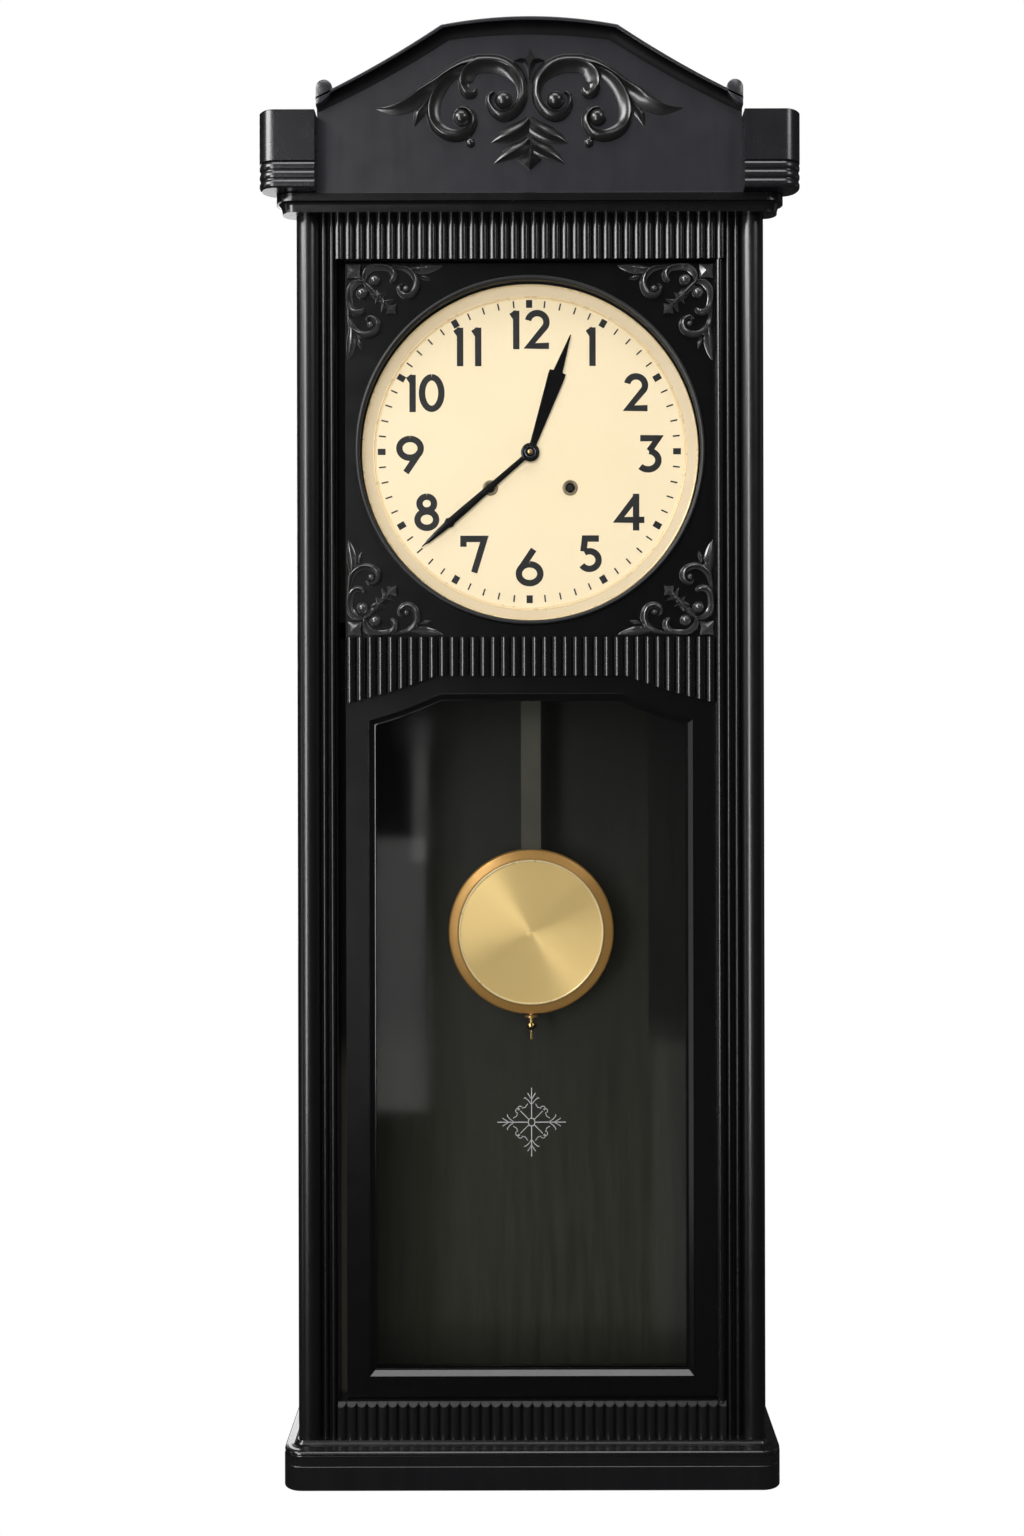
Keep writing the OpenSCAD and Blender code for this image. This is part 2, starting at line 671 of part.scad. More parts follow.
module crest_half() {
    linear_extrude(carving_t)
        for (b = [leaf_band, hook_band, scroll_band, leaflet_band, upper_acanthus, lower_acanthus])
            band(stretched(b, crest_k), 4);
    intersection() {
        for (q = stretched([[21.9, 72.9, 8], [56.8, 57.7, 7.1], [49.4, 38, 3.9]], crest_k))
            translate([q[0], q[1], 0]) scale([1, 1, 0.8]) sphere(r = q[2]);
        cube([crest_x, crest_h, crest_h]);
    }
}
module crest_carving() {
    color("#202024") hung() facing(panel_y, crown_z + carving_rise) {
        crest_half();
        mirror([1, 0, 0]) crest_half();
        linear_extrude(carving_t) {
            polygon(stretched([[0, 115.3], [1.5, 108], [12.6, 104.5], [6, 101], [0, 86], [-6, 101],
                [-12.6, 104.5], [-1.5, 108]], crest_k));
            polygon(stretched([[0, 50], [1.4, 33], [10, 23.5], [0, 14.9], [-10, 23.5], [-1.4, 33]], crest_k));
        }
    }
}

// Dial and what carries it
eyelet_wall = 0.8;
module dial_board() {
    z0 = panel_z0 + 14;
    z1 = case_z1 - board_t;
    color("#2a211b") hung() difference() {
        translate([-pilaster_x, board_y, z0]) cube([2 * pilaster_x, dial_board_t, z1 - z0]);
        facing(board_back_y + 1) {
            cylinder(r = 5, h = dial_board_t + 2);
            for (p = [time_p, strike_p]) translate([p[0], p[1], 0])
                cylinder(r = winding_hole_r + eyelet_wall, h = dial_board_t + 2);
        }
    }
}

module dial_plate() {
    color("#f3e3c2") hung() facing(board_y) difference() {
        rotate_extrude() polygon([[0, 0], [rim_r, 0], [rim_r, dial_t + dial_rim_h],
            [rim_r - 0.8, dial_t + dial_rim_h], [rim_r - dial_rim_w, dial_t], [0, dial_t]]);
        translate([0, 0, -1]) {
            cylinder(r = 4, h = 10);
            for (p = [time_p, strike_p]) translate([p[0], p[1], 0])
                cylinder(r = winding_hole_r + eyelet_wall, h = 10);
        }
    }
}

module winding_eyelets() {
    color("#8c7440") hung() facing(board_y + 3) for (p = [time_p, strike_p]) translate([p[0], p[1], 0])
        rotate_extrude() polygon([[winding_hole_r, 0], [winding_hole_r + eyelet_wall, 0],
            [winding_hole_r + eyelet_wall, 3 + dial_t], [eyelet_r, 3 + dial_t], [eyelet_r - 0.4, 3.6 + dial_t],
            [winding_hole_r + 0.4, 3.9 + dial_t], [winding_hole_r, 3.6 + dial_t]]);
}

// Movement plates and bearings

function plate_hole_list() = [
    [time_p, 3], [strike_p, 3], [second_p, 1.2], [third_p, 0.9], [escape_p, 0.8], [anchor_p, 1],
    [center_p, 1.5]];
pillar_x = plate_w / 2 - 8;
plate_low = -winding_drop - 36;
pillar_list = [for (s = [-1, 1]) for (z = [plate_low + 8, plate_low + plate_h - 8]) [s * pillar_x, z]];
module plate_area() {
    difference() {
        translate([-plate_w / 2, plate_low]) square([plate_w, plate_h]);
        for (q = plate_hole_list()) translate(q[0]) circle(r = q[1] + running_fit);
    }
}
module movement_front_plate() {
    y = front_plate_y + plate_t;
    color("#c9a659") hung() {
        facing(y) linear_extrude(plate_t) plate_area();
        for (p = pillar_list) disc(p, 4, front_plate_y, board_back_y);
        // Stud of the minute wheel
        disc(minute_wheel_p, 1, front_plate_y, front_plate_y - 5.2);
    }
}
module movement_back_plate() {
    color("#c9a659") hung() {
        facing(plate_back_y) linear_extrude(plate_t) plate_area();
        for (p = pillar_list) disc(p, 4, back_plate_y, front_plate_y + plate_t);
        // Stud of the hammer
        disc(hammer_p, 1.5, -24, plate_back_y);
    }
}

// Cock behind the back plate that carries the pendulum on a pin
pin_y = -pendulum_y + 3;
module suspension_bracket() {
    z = suspension_z;
    cock_y = -pendulum_y - 5;
    color("#c9a659") hung() {
        for (s = [-1, 1]) translate([s > 0 ? 13 : -18, plate_back_y, z - 6])
            cube([5, cock_y - plate_back_y, 16]);
        translate([-18, cock_y, z - 6]) cube([36, 2, 16]);
        facing(pin_y, z) cylinder(r = 1.5, h = pin_y - cock_y);
        facing(pin_y + 1, z) cylinder(r = 3, h = 1);
    }
}

// Gong: a flat coiled rod staked into an iron stand on the back board

gong_y = -22;
gong_wire = 2.6;
module gong_stand() {
    color("#2b2b2e") hung() facing(back_y) translate([gong_p[0], gong_p[1], 0]) {
        cylinder(r = 13, h = 3);
        cylinder(r = 7, h = back_y - gong_y + gong_wire + 1);
    }
}
module gong_coil() {
    steps = 20 * gong_turns;
    inner = 6;
    coil = [for (k = [0:steps]) let (t = k / steps, a = 180 + 360 * gong_turns * (t - 1),
        r = inner + (gong_r - gong_wire / 2 - inner) * t) [r * cos(a), r * sin(a), gong_wire / 2]];
    color("#3a3f4a") hung() facing(gong_y) translate([gong_p[0], gong_p[1], 0])
        linear_extrude(gong_wire) band(coil, 1);
}

// Hammer on its stud behind the back plate
hammer_len = gong_drop + hammer_p[1];
hammer_head_x = -gong_r - 2 - hammer_p[0];
module hammer() {
    y0 = -24.3;
    y1 = plate_back_y + 0.3;
    color("#b08d57") hung() facing(y0) translate([hammer_p[0], hammer_p[1], 0]) {
        difference() {
            union() {
                cylinder(r = 3, h = y0 - y1);
                translate([-1.5, -hammer_len, -2.2]) cube([3, hammer_len, 2.2]);
            }
            translate([0, 0, -5]) cylinder(r = 1.5 + running_fit, h = 60);
        }
        translate([-4, -hammer_len, -1.1]) rotate([0, 90, 0]) cylinder(r = 4, h = hammer_head_x + 4);
    }
}

// Steel pins on which the door turns
module door_pivot_pins() {
    color("#9a9ca0") hung() {
        translate([pivot_x, pivot_y, pin_low_z]) cylinder(r = pin_r, h = door_z0 + pin_in_door - pin_low_z);
        translate([pivot_x, pivot_y, door_z1 - pin_in_door])
            cylinder(r = pin_r, h = pin_in_door + door_gap + pin_in_frieze);
    }
}

// Door

module dial_surround() {
    color("#1b1b1f") hung() facing(door_y + surround_t, 0) linear_extrude(surround_t) difference() {
        translate([-door_x, panel_z0]) square([door_w, dial_panel_h]);
        translate([0, dial_z]) circle(r = bezel_r - 2);
    }
}

// Corner carving: half of it, then its mirror image about the corner's diagonal.
// Bands are [along the edge, away from the edge, half width] from the panel's corner,
// drawn for a bezel of the radius below and stretched with it.
corner_drawn = 147.7;
corner_k = bezel_r / corner_drawn;
corner_scroll = [[19.4, 18.6, 1.4], [14.7, 15, 2], [14, 9.5, 2.3], [18.2, 4.9, 2.6], [26.6, 3.5, 2.6],
    [39.2, 4, 2.5], [50.4, 5.2, 2.6], [57.4, 10.2, 2.7], [60.2, 17.2, 2.7], [57.4, 24.9, 2.5],
    [51.1, 27.3, 2.2], [45.8, 24.2, 1.8], [45.6, 19.3, 1.2]];
corner_hook = [[35, 4, 2], [40.6, 7.5, 2.5], [42, 12, 2.2], [39.5, 15.2, 1.6], [37, 13.8, 0.8]];
corner_leaf = [[49.7, 4, 1.2], [60.2, 4.4, 2.6], [70.7, 4, 3], [84, 1.4, 0.3]];
corner_bud = [[58, 11.5, 2], [66, 11.6, 2.6], [71, 14, 0.3]];
corner_frond = [[20.5, 23.5, 1], [28, 24.6, 2.2], [34.3, 22.5, 0.3]];
corner_tip = [[27.5, 29.5, 1.2], [35, 30.4, 2.4], [41, 31, 0.3]];
module corner_half() {
    linear_extrude(carving_t)
        for (b = [corner_scroll, corner_hook, corner_leaf, corner_bud, corner_frond, corner_tip])
            band(b * corner_k, 3);
    intersection() {
        for (q = [[24, 14.7, 6], [51, 19.5, 3.2]] * corner_k) translate([q[0], q[1], 0]) sphere(r = q[2]);
        cube([bezel_r, bezel_r, carving_t]);
    }
}
module corner_carving() {
    corner_half();
    mirror([1, -1, 0]) corner_half();
    linear_extrude(carving_t) {
        rotate(45) translate([2, -3.5] * corner_k) square([12, 7] * corner_k);
        rotate(45) translate([28, -3] * corner_k) square([26, 6] * corner_k);
    }
}
module corner_carvings() {
    inset = 2;
    x = door_x - inset;
    z = dial_panel_h / 2 - inset;
    color("#202024") hung() facing(door_y) for (sx = [-1, 1]) for (sz = [-1, 1])
        translate([sx * x, sz * z, 0]) mirror([sx > 0 ? 1 : 0, 0, 0])
            mirror([0, sz > 0 ? 1 : 0, 0]) corner_carving();
}

frieze_front_y = door_y - 2;
module middle_frieze() {
    low = arch_z - arch_drop - 1;
    color("#17171a") hung() {
        difference() {
            translate([0, 0, low]) linear_extrude(panel_z0 - low)
                reed_plan(-door_x, door_x, frieze_front_y, door_back_y);
            translate([0, 10, 0]) facing(door_back_y, 0) linear_extrude(60) frame_area(door_z0);
        }
        // Lap behind the dial panel
        translate([-door_x + 8, door_y + surround_t, panel_z0]) cube([door_w - 16, frame_t - surround_t, 11]);
    }
}

module stile_area() {
    intersection() {
        frame_area(door_z0);
        translate([door_x - stile_w, door_z0]) square([stile_w, lower_frame_h]);
    }
}
module left_stile() {
    color("#17171a") hung() difference() {
        mirror([1, 0, 0]) facing(door_back_y, 0) linear_extrude(frame_t) stile_area();
        translate([catch_x, door_back_y + 1, magnet_z]) rotate([90, 0, 0]) cylinder(r = catch_r, h = 2);
    }
}
module right_stile() {
    color("#17171a") hung() facing(door_back_y, 0) linear_extrude(frame_t) stile_area();
}
module arched_top_rail() {
    x = door_x - stile_w;
    color("#17171a") hung() facing(door_back_y, 0) linear_extrude(frame_t) difference() {
        intersection() {
            frame_area(arch_z - 60);
            translate([-x, arch_z - 60]) square([2 * x, 60]);
        }
        light_area(0, arch_z - 70);
    }
}
module bottom_rail() {
    x = door_x - stile_w;
    color("#17171a") hung() translate([-x, door_y, door_z0]) cube([2 * x, frame_t, bottom_rail_h]);
}

// Beads before and behind the glass; the front one slopes down to the glass
glass_y = door_y + 4;
glazing_low = door_z0 + bottom_rail_h;
module glazing_beads() {
    color("#232327") hung() {
        facing(glass_y, 0) linear_extrude(glass_y - door_y - 1) difference() {
            light_area(0, glazing_low);
            light_area(glazing_w, glazing_low + glazing_w + 1.5);
        }
        facing(door_y + 1, 0) linear_extrude(1.8) difference() {
            light_area(0, glazing_low);
            light_area(glazing_w - 2.5, glazing_low + glazing_w - 1);
        }
        facing(glass_y + glass_t + 4, 0) linear_extrude(4) difference() {
            light_area(0, glazing_low);
            light_area(glazing_w, glazing_low + glazing_w);
        }
    }
}
module lower_glass() {
    color("#9fb0b6", 0.3) hung() facing(glass_y + glass_t, 0)
        linear_extrude(glass_t) light_area(0, glazing_low);
}

// Bezel: a rounded ring whose spigot sits in the panel and holds the glass
spigot_r = bezel_r - 2;
spigot_in = spigot_r - 1.2;
glass_rest = 1.2;
module bezel_ring() {
    y_in = bezel_r - bezel_w;
    color("#17171a") hung() facing(door_y) rotate_extrude() polygon(concat(
        [[spigot_in, -surround_t + 0.5], [spigot_r, -surround_t + 0.5], [spigot_r, 0], [bezel_r, 0]],
        [for (a = [0:15:90]) [bezel_r - 2 + 2 * cos(a), 1.6 + 2 * sin(a)]],
        [[y_in + 0.8, 3.2], [y_in, 2], [y_in, glass_rest - 0.4], [spigot_in, glass_rest - 0.4]]));
}
module dial_glass() {
    color("#c4ced2", 0.2) hung() facing(door_y + 1.2) cylinder(r = spigot_in, h = 2);
}

// Bead on the hinge side, bored at both ends for the pins
module hinge_bead() {
    h = door_z1 - door_z0;
    color("#17171a") hung() difference() {
        translate([0, 0, door_z0]) linear_extrude(h) union() {
            translate([pivot_x, pivot_y]) circle(r = bead_r);
            translate([pivot_x - bead_r, pivot_y]) square([2 * bead_r, door_y + surround_t - pivot_y]);
        }
        translate([pivot_x, pivot_y, door_z0 - 1]) cylinder(r = pin_r + running_fit, h = pin_in_door + 1.5);
        translate([pivot_x, pivot_y, door_z1 - pin_in_door - 0.5])
            cylinder(r = pin_r + running_fit, h = pin_in_door + 1.5);
    }
}
module catch_plate() {
    color("#9a9ca0") hung() translate([catch_x, door_back_y, magnet_z])
        rotate([90, 0, 0]) cylinder(r = catch_r, h = 1);
}

// Pendulum

rod_top_z = suspension_z - 24;
module suspension_spring() {
    y = -pendulum_y;
    z = suspension_z;
    color("#8a8d92") hung() {
        difference() {
            union() {
                facing(y + 1.5, z) cylinder(r = 4, h = 3);
                translate([-4, y - 1.5, z - 8]) cube([8, 3, 8]);
            }
            facing(y + 3, z) cylinder(r = 1.5 + running_fit, h = 6);
        }
        translate([-3.5, y - 0.25, rod_top_z]) cube([7, 0.5, z - 8 - rod_top_z]);
    }
}
crutch_drop = 60;
bob_low_z = bob_z - bob_r;
rod_end_z = bob_low_z + 4;
screw_r = 1.2;
screw_len = 22.5;
module pendulum_rod() {
    y = -pendulum_y;
    neck_z = suspension_z - crutch_drop - 14;
    color("#3b3c3e") hung() {
        difference() {
            union() {
                translate([-6, y - rod_t / 2, neck_z]) cube([12, rod_t, rod_top_z - neck_z]);
                translate([-rod_w / 2, y - rod_t / 2, rod_end_z]) cube([rod_w, rod_t, neck_z - rod_end_z]);
            }
            // Slot for the crutch pin
            translate([-1.4, y - 10, suspension_z - crutch_drop - 5]) cube([2.8, 20, 10]);
        }
        // Turned collar and threaded end below the bob
        translate([0, y, bob_low_z - 6]) rotate_extrude()
            polygon([[0, 0], [2.2, 0], [1.9, 1.6], [3, 2.9], [6, 3.5], [6, 5.2], [2.2, 5.7], [2.2, 10.5],
                [0, 10.5]]);
        translate([0, y, bob_low_z - screw_len]) cylinder(r = screw_r, h = screw_len);
    }
}
module rating_nut() {
    color("#c9a24f") hung() translate([0, -pendulum_y, bob_low_z - 10.2]) difference() {
        rotate_extrude() polygon([[0, -4], [2.2, -4], [2.8, -2.6], [4.2, -2], [4.8, -0.8], [4.8, 0.8],
            [4.2, 2], [2.6, 2.6], [2.2, 3.8], [0, 3.8]]);
        translate([0, 0, -10]) cylinder(r = screw_r + running_fit, h = 20);
    }
}

// Bob: a turned shell with a stepped rim, and a slightly domed face pressed into it
face_r = bob_r - bob_rim;
module bob_shell() {
    y = -pendulum_y;
    half = bob_t / 2;
    color("#a5762f") hung() difference() {
        facing(y, bob_z) rotate_extrude() polygon([[0, -half + 1], [bob_r - 12, -half + 1],
            [bob_r - 3, -half + 4], [bob_r, -1], [bob_r, 1.5], [bob_r - 1.2, 3.6], [bob_r - 3.4, 4.6],
            [face_r + 2.4, half - 1.6],
            [face_r + 1.2, half - 0.6], [face_r, half - 1], [face_r, 3], [0, 3]]);
        translate([-rod_w / 2, y - rod_t / 2, bob_low_z - 5]) cube([rod_w, rod_t, 2 * bob_r + 10]);
    }
}
module bob_face() {
    half = bob_t / 2;
    color("#d8bd7e") hung() facing(-pendulum_y, bob_z) rotate_extrude()
        polygon([[0, 3], [face_r, 3], [face_r, half - 1], [face_r * 0.5, half - 0.3], [0, half]]);
}

// Motion work and hands

pipe_r = 2.4;
hour_pipe_r = 3.6;
minute_hand_y = dial_y - 5.2;
hour_hand_y = dial_y - 2.4;
module minute_hand() {
    color("#151515") hung() facing(minute_hand_y) rotate([0, 0, -minute_angle]) {
        linear_extrude(hand_t) difference() {
            union() {
                circle(r = 7.2);
                polygon([[2, 0], [3.2, minute_len * 0.68], [4.8, minute_len * 0.76], [2.9, minute_len * 0.78],
                    [1.5, minute_len * 0.95], [0.5, minute_len], [-0.5, minute_len], [-1.5, minute_len * 0.95],
                    [-2.9, minute_len * 0.78], [-4.8, minute_len * 0.76], [-3.2, minute_len * 0.68], [-2, 0]]);
            }
            circle(r = pipe_r);
        }
    }
}
module cannon_pinion() {
    y0 = front_plate_y - 0.3;
    color("#b8bbc0") hung() facing(y0) difference() {
        union() {
            linear_extrude(2) pinion_outline(cannon_teeth, cannon_module);
            cylinder(r = pipe_r, h = y0 - minute_hand_y + hand_t);
            translate([0, 0, y0 - minute_hand_y + hand_t]) cylinder(r = 4, h = 1);
        }
        translate([0, 0, -1]) cylinder(r = 1.5 + running_fit, h = 40);
    }
}
hour_wheel_y = front_plate_y - 3.2;
module hour_hand() {
    color("#151515") hung() {
        facing(hour_hand_y) rotate([0, 0, -hour_angle]) linear_extrude(hand_t) difference() {
            union() {
                circle(r = 7.5);
                polygon([[2.2, 0], [7.3, hour_len * 0.65], [7.3, hour_len * 0.685], [4, hour_len * 0.69],
                    [0.4, hour_len], [-0.4, hour_len], [-4, hour_len * 0.69], [-7.3, hour_len * 0.685],
                    [-7.3, hour_len * 0.65], [-2.2, 0]]);
            }
            circle(r = pipe_r + 0.5);
        }
        facing(hour_wheel_y) difference() {
            union() {
                rotate([0, 0, hour_wheel_t]) linear_extrude(1.2) wheel_outline(hour_teeth, hour_module);
                cylinder(r = hour_pipe_r, h = hour_wheel_y - hour_hand_y);
            }
            translate([0, 0, -1]) cylinder(r = pipe_r + running_fit, h = 40);
        }
    }
}
module minute_wheel() {
    y0 = front_plate_y - 0.5;
    p = minute_wheel_p;
    color("#c9a659") hung() difference() {
        union() {
            train_wheel(p, minute_wheel_teeth, cannon_module, minute_wheel_t, y0, y0 - 1.2, 4, 3.5);
            train_pinion(p, minute_pinion_teeth, hour_module, minute_wheel_t, y0 - 1.2, y0 - 4.4);
        }
        disc(p, 1 + running_fit, y0 + 1, y0 - 10);
    }
}

// Going train, from the arbor of the hands to the escapement

wheel_t = 1.2;
inner_y0 = back_plate_y;
inner_y1 = front_plate_y + plate_t;
module arbor(p, r, pivot) {
    disc(p, r, inner_y0 - 0.3, inner_y1 + 0.3);
    disc(p, pivot, plate_back_y, front_plate_y);
}
center_wheel_y = inner_y0 - 1.8;
second_wheel_y = inner_y1 + 2.8;
great_y = inner_y0 - 4.6;
third_wheel_y = inner_y0 - 22;
escape_y = inner_y0 - 14;
module center_wheel() {
    p = center_p;
    color("#c9a659") hung() {
        disc(p, 2, inner_y0 - 0.3, inner_y1 + 0.3);
        disc(p, 1.5, plate_back_y, minute_hand_y - hand_t - 1.4);
        train_wheel(p, center_teeth, center_module, 0, center_wheel_y, center_wheel_y - wheel_t, 4, 4);
        train_pinion(p, center_pinion_teeth, second_module, 0,
            second_wheel_y + 0.6, second_wheel_y - wheel_t - 0.4);
    }
}
module second_wheel() {
    p = second_p;
    color("#c9a659") hung() {
        arbor(p, 1.8, 1.2);
        train_wheel(p, second_teeth, second_module, second_t, second_wheel_y, second_wheel_y - wheel_t, 5, 4);
        train_pinion(p, second_pinion_teeth, great_module, second_t, great_y + 0.6, great_y - 2.6);
    }
}
module third_wheel() {
    p = third_p;
    color("#c9a659") hung() {
        arbor(p, 1.4, 0.9);
        train_wheel(p, third_teeth, third_module, third_t, third_wheel_y, third_wheel_y - wheel_t, 4, 3.4);
        train_pinion(p, third_pinion_teeth, center_module, third_t,
            center_wheel_y + 0.6, center_wheel_y - wheel_t - 0.6);
    }
}

// Escape wheel: raked, pointed teeth
module escape_outline() {
    pitch = 360 / escape_teeth;
    root_r = escape_r - 3;
    polygon([for (k = [0:escape_teeth - 1])
        for (q = [[root_r, 0], [escape_r, 0.32], [escape_r, 0.42], [root_r, 0.62]])
        [q[0] * cos(pitch * (k + q[1])), q[0] * sin(pitch * (k + q[1]))]]);
}
module escape_wheel() {
    p = escape_p;
    r_in = escape_r - 4.6;
    color("#c9a659") hung() {
        arbor(p, 1.2, 0.8);
        facing(escape_y) translate([p[0], p[1], 0]) rotate([0, 0, escape_t]) linear_extrude(wheel_t) union() {
            difference() {
                escape_outline();
                circle(r = r_in);
            }
            circle(r = 3);
            for (k = [0:3]) rotate(90 * k) translate([0, -0.8]) square([r_in + 0.4, 1.6]);
        }
        train_pinion(p, escape_pinion_teeth, third_module, escape_t,
            third_wheel_y + 0.6, third_wheel_y - wheel_t - 0.6);
    }
}

// Anchor with its arbor and the crutch behind the back plate, ending in a pin for the rod
module anchor() {
    p = anchor_p;
    reach = escape_r * 1.5 * cos(50);
    r_tip = escape_r + 1.6;
    crutch_y0 = plate_back_y + 2.6;
    color("#8a8d92") hung() {
        arbor(p, 1.4, 1);
        facing(escape_y + 0.9) translate([p[0], p[1], 0]) linear_extrude(wheel_t + 1.8) difference() {
            union() {
                circle(r = 4);
                for (s = [-1, 1]) polygon([[0, 3], [s * 15, -4], [s * 19.5, -13], [s * 16.4, -14.4],
                    [s * 12, -7.5], [0, -3]]);
            }
            translate(escape_p - anchor_p) circle(r = r_tip);
        }
        disc(p, 1, crutch_y0, plate_back_y);
        disc(p, 3, crutch_y0, crutch_y0 - 2);
        translate([-2, crutch_y0 - 1.5, suspension_z - crutch_drop - 2]) cube([4, 1, crutch_drop]);
        facing(-pendulum_y + rod_t / 2 - 1, suspension_z - crutch_drop)
            cylinder(r = 1.2, h = -pendulum_y + rod_t / 2 - 1 - crutch_y0 + 1.4);
    }
}

// Spring barrels with their great wheels, and the arbors that wind them
barrel_y0 = great_y - 2.2;
barrel_y1 = inner_y1 + 4.6;
module barrel(p, t) {
    difference() {
        union() {
            disc(p, barrel_r, barrel_y0, barrel_y1);
            facing(great_y) translate([p[0], p[1], 0]) rotate([0, 0, t])
                linear_extrude(2.2) wheel_outline(great_teeth, great_module);
        }
        disc(p, winding_r + running_fit, inner_y0, inner_y1);
    }
}
module time_barrel() {
    color("#c9a659") hung() barrel(time_p, great_t);
}
module strike_barrel() {
    color("#c9a659") hung() barrel(strike_p, 180 - great_t);
}
module winding_arbor(p) {
    square_w = 4.8;
    arbor(p, winding_r, 3);
    facing(front_plate_y) translate([p[0] - square_w / 2, p[1] - square_w / 2, 0])
        cube([square_w, square_w, front_plate_y - dial_y]);
}
module time_winding_arbor() {
    color("#8a8d92") hung() winding_arbor(time_p);
}
module strike_winding_arbor() {
    color("#8a8d92") hung() winding_arbor(strike_p);
}

back_board();
left_side_board();
right_side_board();
top_board();
bottom_board();
hanger_plate();
plinth_block();
plinth_moulding();
lower_frieze();
pilasters();
door_posts();
upper_frieze();
cornice_moulding();
left_crown_block();
right_crown_block();
pediment_panel();
crest_moulding();
crest_carving();
dial_board();
dial_plate();
winding_eyelets();
gong_stand();
gong_coil();
movement_front_plate();
movement_back_plate();
suspension_bracket();
catch_magnet();
door_pivot_pins();
dial_surround();
corner_carvings();
middle_frieze();
left_stile();
right_stile();
arched_top_rail();
bottom_rail();
glazing_beads();
lower_glass();
bezel_ring();
dial_glass();
hinge_bead();
catch_plate();
suspension_spring();
pendulum_rod();
bob_shell();
bob_face();
rating_nut();
minute_hand();
cannon_pinion();
hour_hand();
minute_wheel();
center_wheel();
second_wheel();
third_wheel();
escape_wheel();
anchor();
time_barrel();
strike_barrel();
time_winding_arbor();
strike_winding_arbor();
hammer();
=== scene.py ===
import json
import math

import bpy
import numpy as np
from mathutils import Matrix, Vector


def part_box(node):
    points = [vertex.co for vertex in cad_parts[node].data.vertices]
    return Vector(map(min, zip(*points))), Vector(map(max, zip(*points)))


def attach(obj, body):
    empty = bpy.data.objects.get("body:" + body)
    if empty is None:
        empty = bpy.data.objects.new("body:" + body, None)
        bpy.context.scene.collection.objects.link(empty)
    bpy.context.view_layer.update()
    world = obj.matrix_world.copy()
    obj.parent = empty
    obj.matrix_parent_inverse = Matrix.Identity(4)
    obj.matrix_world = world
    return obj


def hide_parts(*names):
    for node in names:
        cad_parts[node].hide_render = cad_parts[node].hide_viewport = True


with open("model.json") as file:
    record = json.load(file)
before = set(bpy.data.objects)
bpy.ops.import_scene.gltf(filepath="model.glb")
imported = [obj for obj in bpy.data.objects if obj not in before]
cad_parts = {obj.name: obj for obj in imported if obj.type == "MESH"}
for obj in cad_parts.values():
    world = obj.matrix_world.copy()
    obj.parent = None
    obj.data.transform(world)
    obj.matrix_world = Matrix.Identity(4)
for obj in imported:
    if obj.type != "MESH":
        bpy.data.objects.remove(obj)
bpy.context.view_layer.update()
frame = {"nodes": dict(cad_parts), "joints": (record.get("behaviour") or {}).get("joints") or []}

nodes = frame["nodes"]
mm = 0.001


def nodeBox(name):
    # Lowest and highest corner of a CAD node, in millimetres
    return np.round(np.array(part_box(name)) / mm, 3)


# Faces and places that the pieces of this script share, in millimetres of the row frame
jointAt = {j["name"]: np.round(np.array(j["pos_m"]) / mm, 3) for j in frame["joints"]}
crestY = nodeBox("pediment_panel")[0][1]  # front of the panel that carries the crest's carving
corniceZ = nodeBox("cornice_moulding")[1][2]  # top of the cornice, from which the crest is measured
dialZ = jointAt["minute_hand_turn"][2]  # height of the dial's centre
dialFace = nodeBox("dial_plate")[1][1] - 1.0  # front of the dial sheet, which is 1 mm thick
bobZ = nodeBox("bob_face").mean(0)[2]  # height of the bob's centre
glassFront, glassBack = nodeBox("lower_glass")[:, 1]
print("stage: frame loaded")

# Camera: level, in front of the plinth, at the eye height that the photograph shows
cameraSet = {"distance": 1.45, "height": -0.3985, "lens": 36.71, "sensor": 36, "axis": (530.8, 740),
    "image": (1024, 1536), "roll": 0.12, "nearest": 0.05}
cameraData = bpy.data.cameras.new("photoCamera")
camera = bpy.data.objects.new("photoCamera", cameraData)
bpy.context.scene.collection.objects.link(camera)
camera.location = (0, -cameraSet["distance"], cameraSet["height"])
camera.rotation_euler = (math.radians(90), math.radians(cameraSet["roll"]), 0)
cameraData.lens = cameraSet["lens"]
cameraData.sensor_width = cameraSet["sensor"]
imageW, imageH = cameraSet["image"]
axisX, axisZ = cameraSet["axis"]  # where the camera's axis meets the image, in its pixels
cameraData.shift_x = (imageW / 2 - axisX) / imageH
cameraData.shift_y = (axisZ - imageH / 2) / imageH
cameraData.clip_start = cameraSet["nearest"]
bpy.context.scene.camera = camera
bpy.context.scene.view_settings.view_transform = "Standard"


# Materials

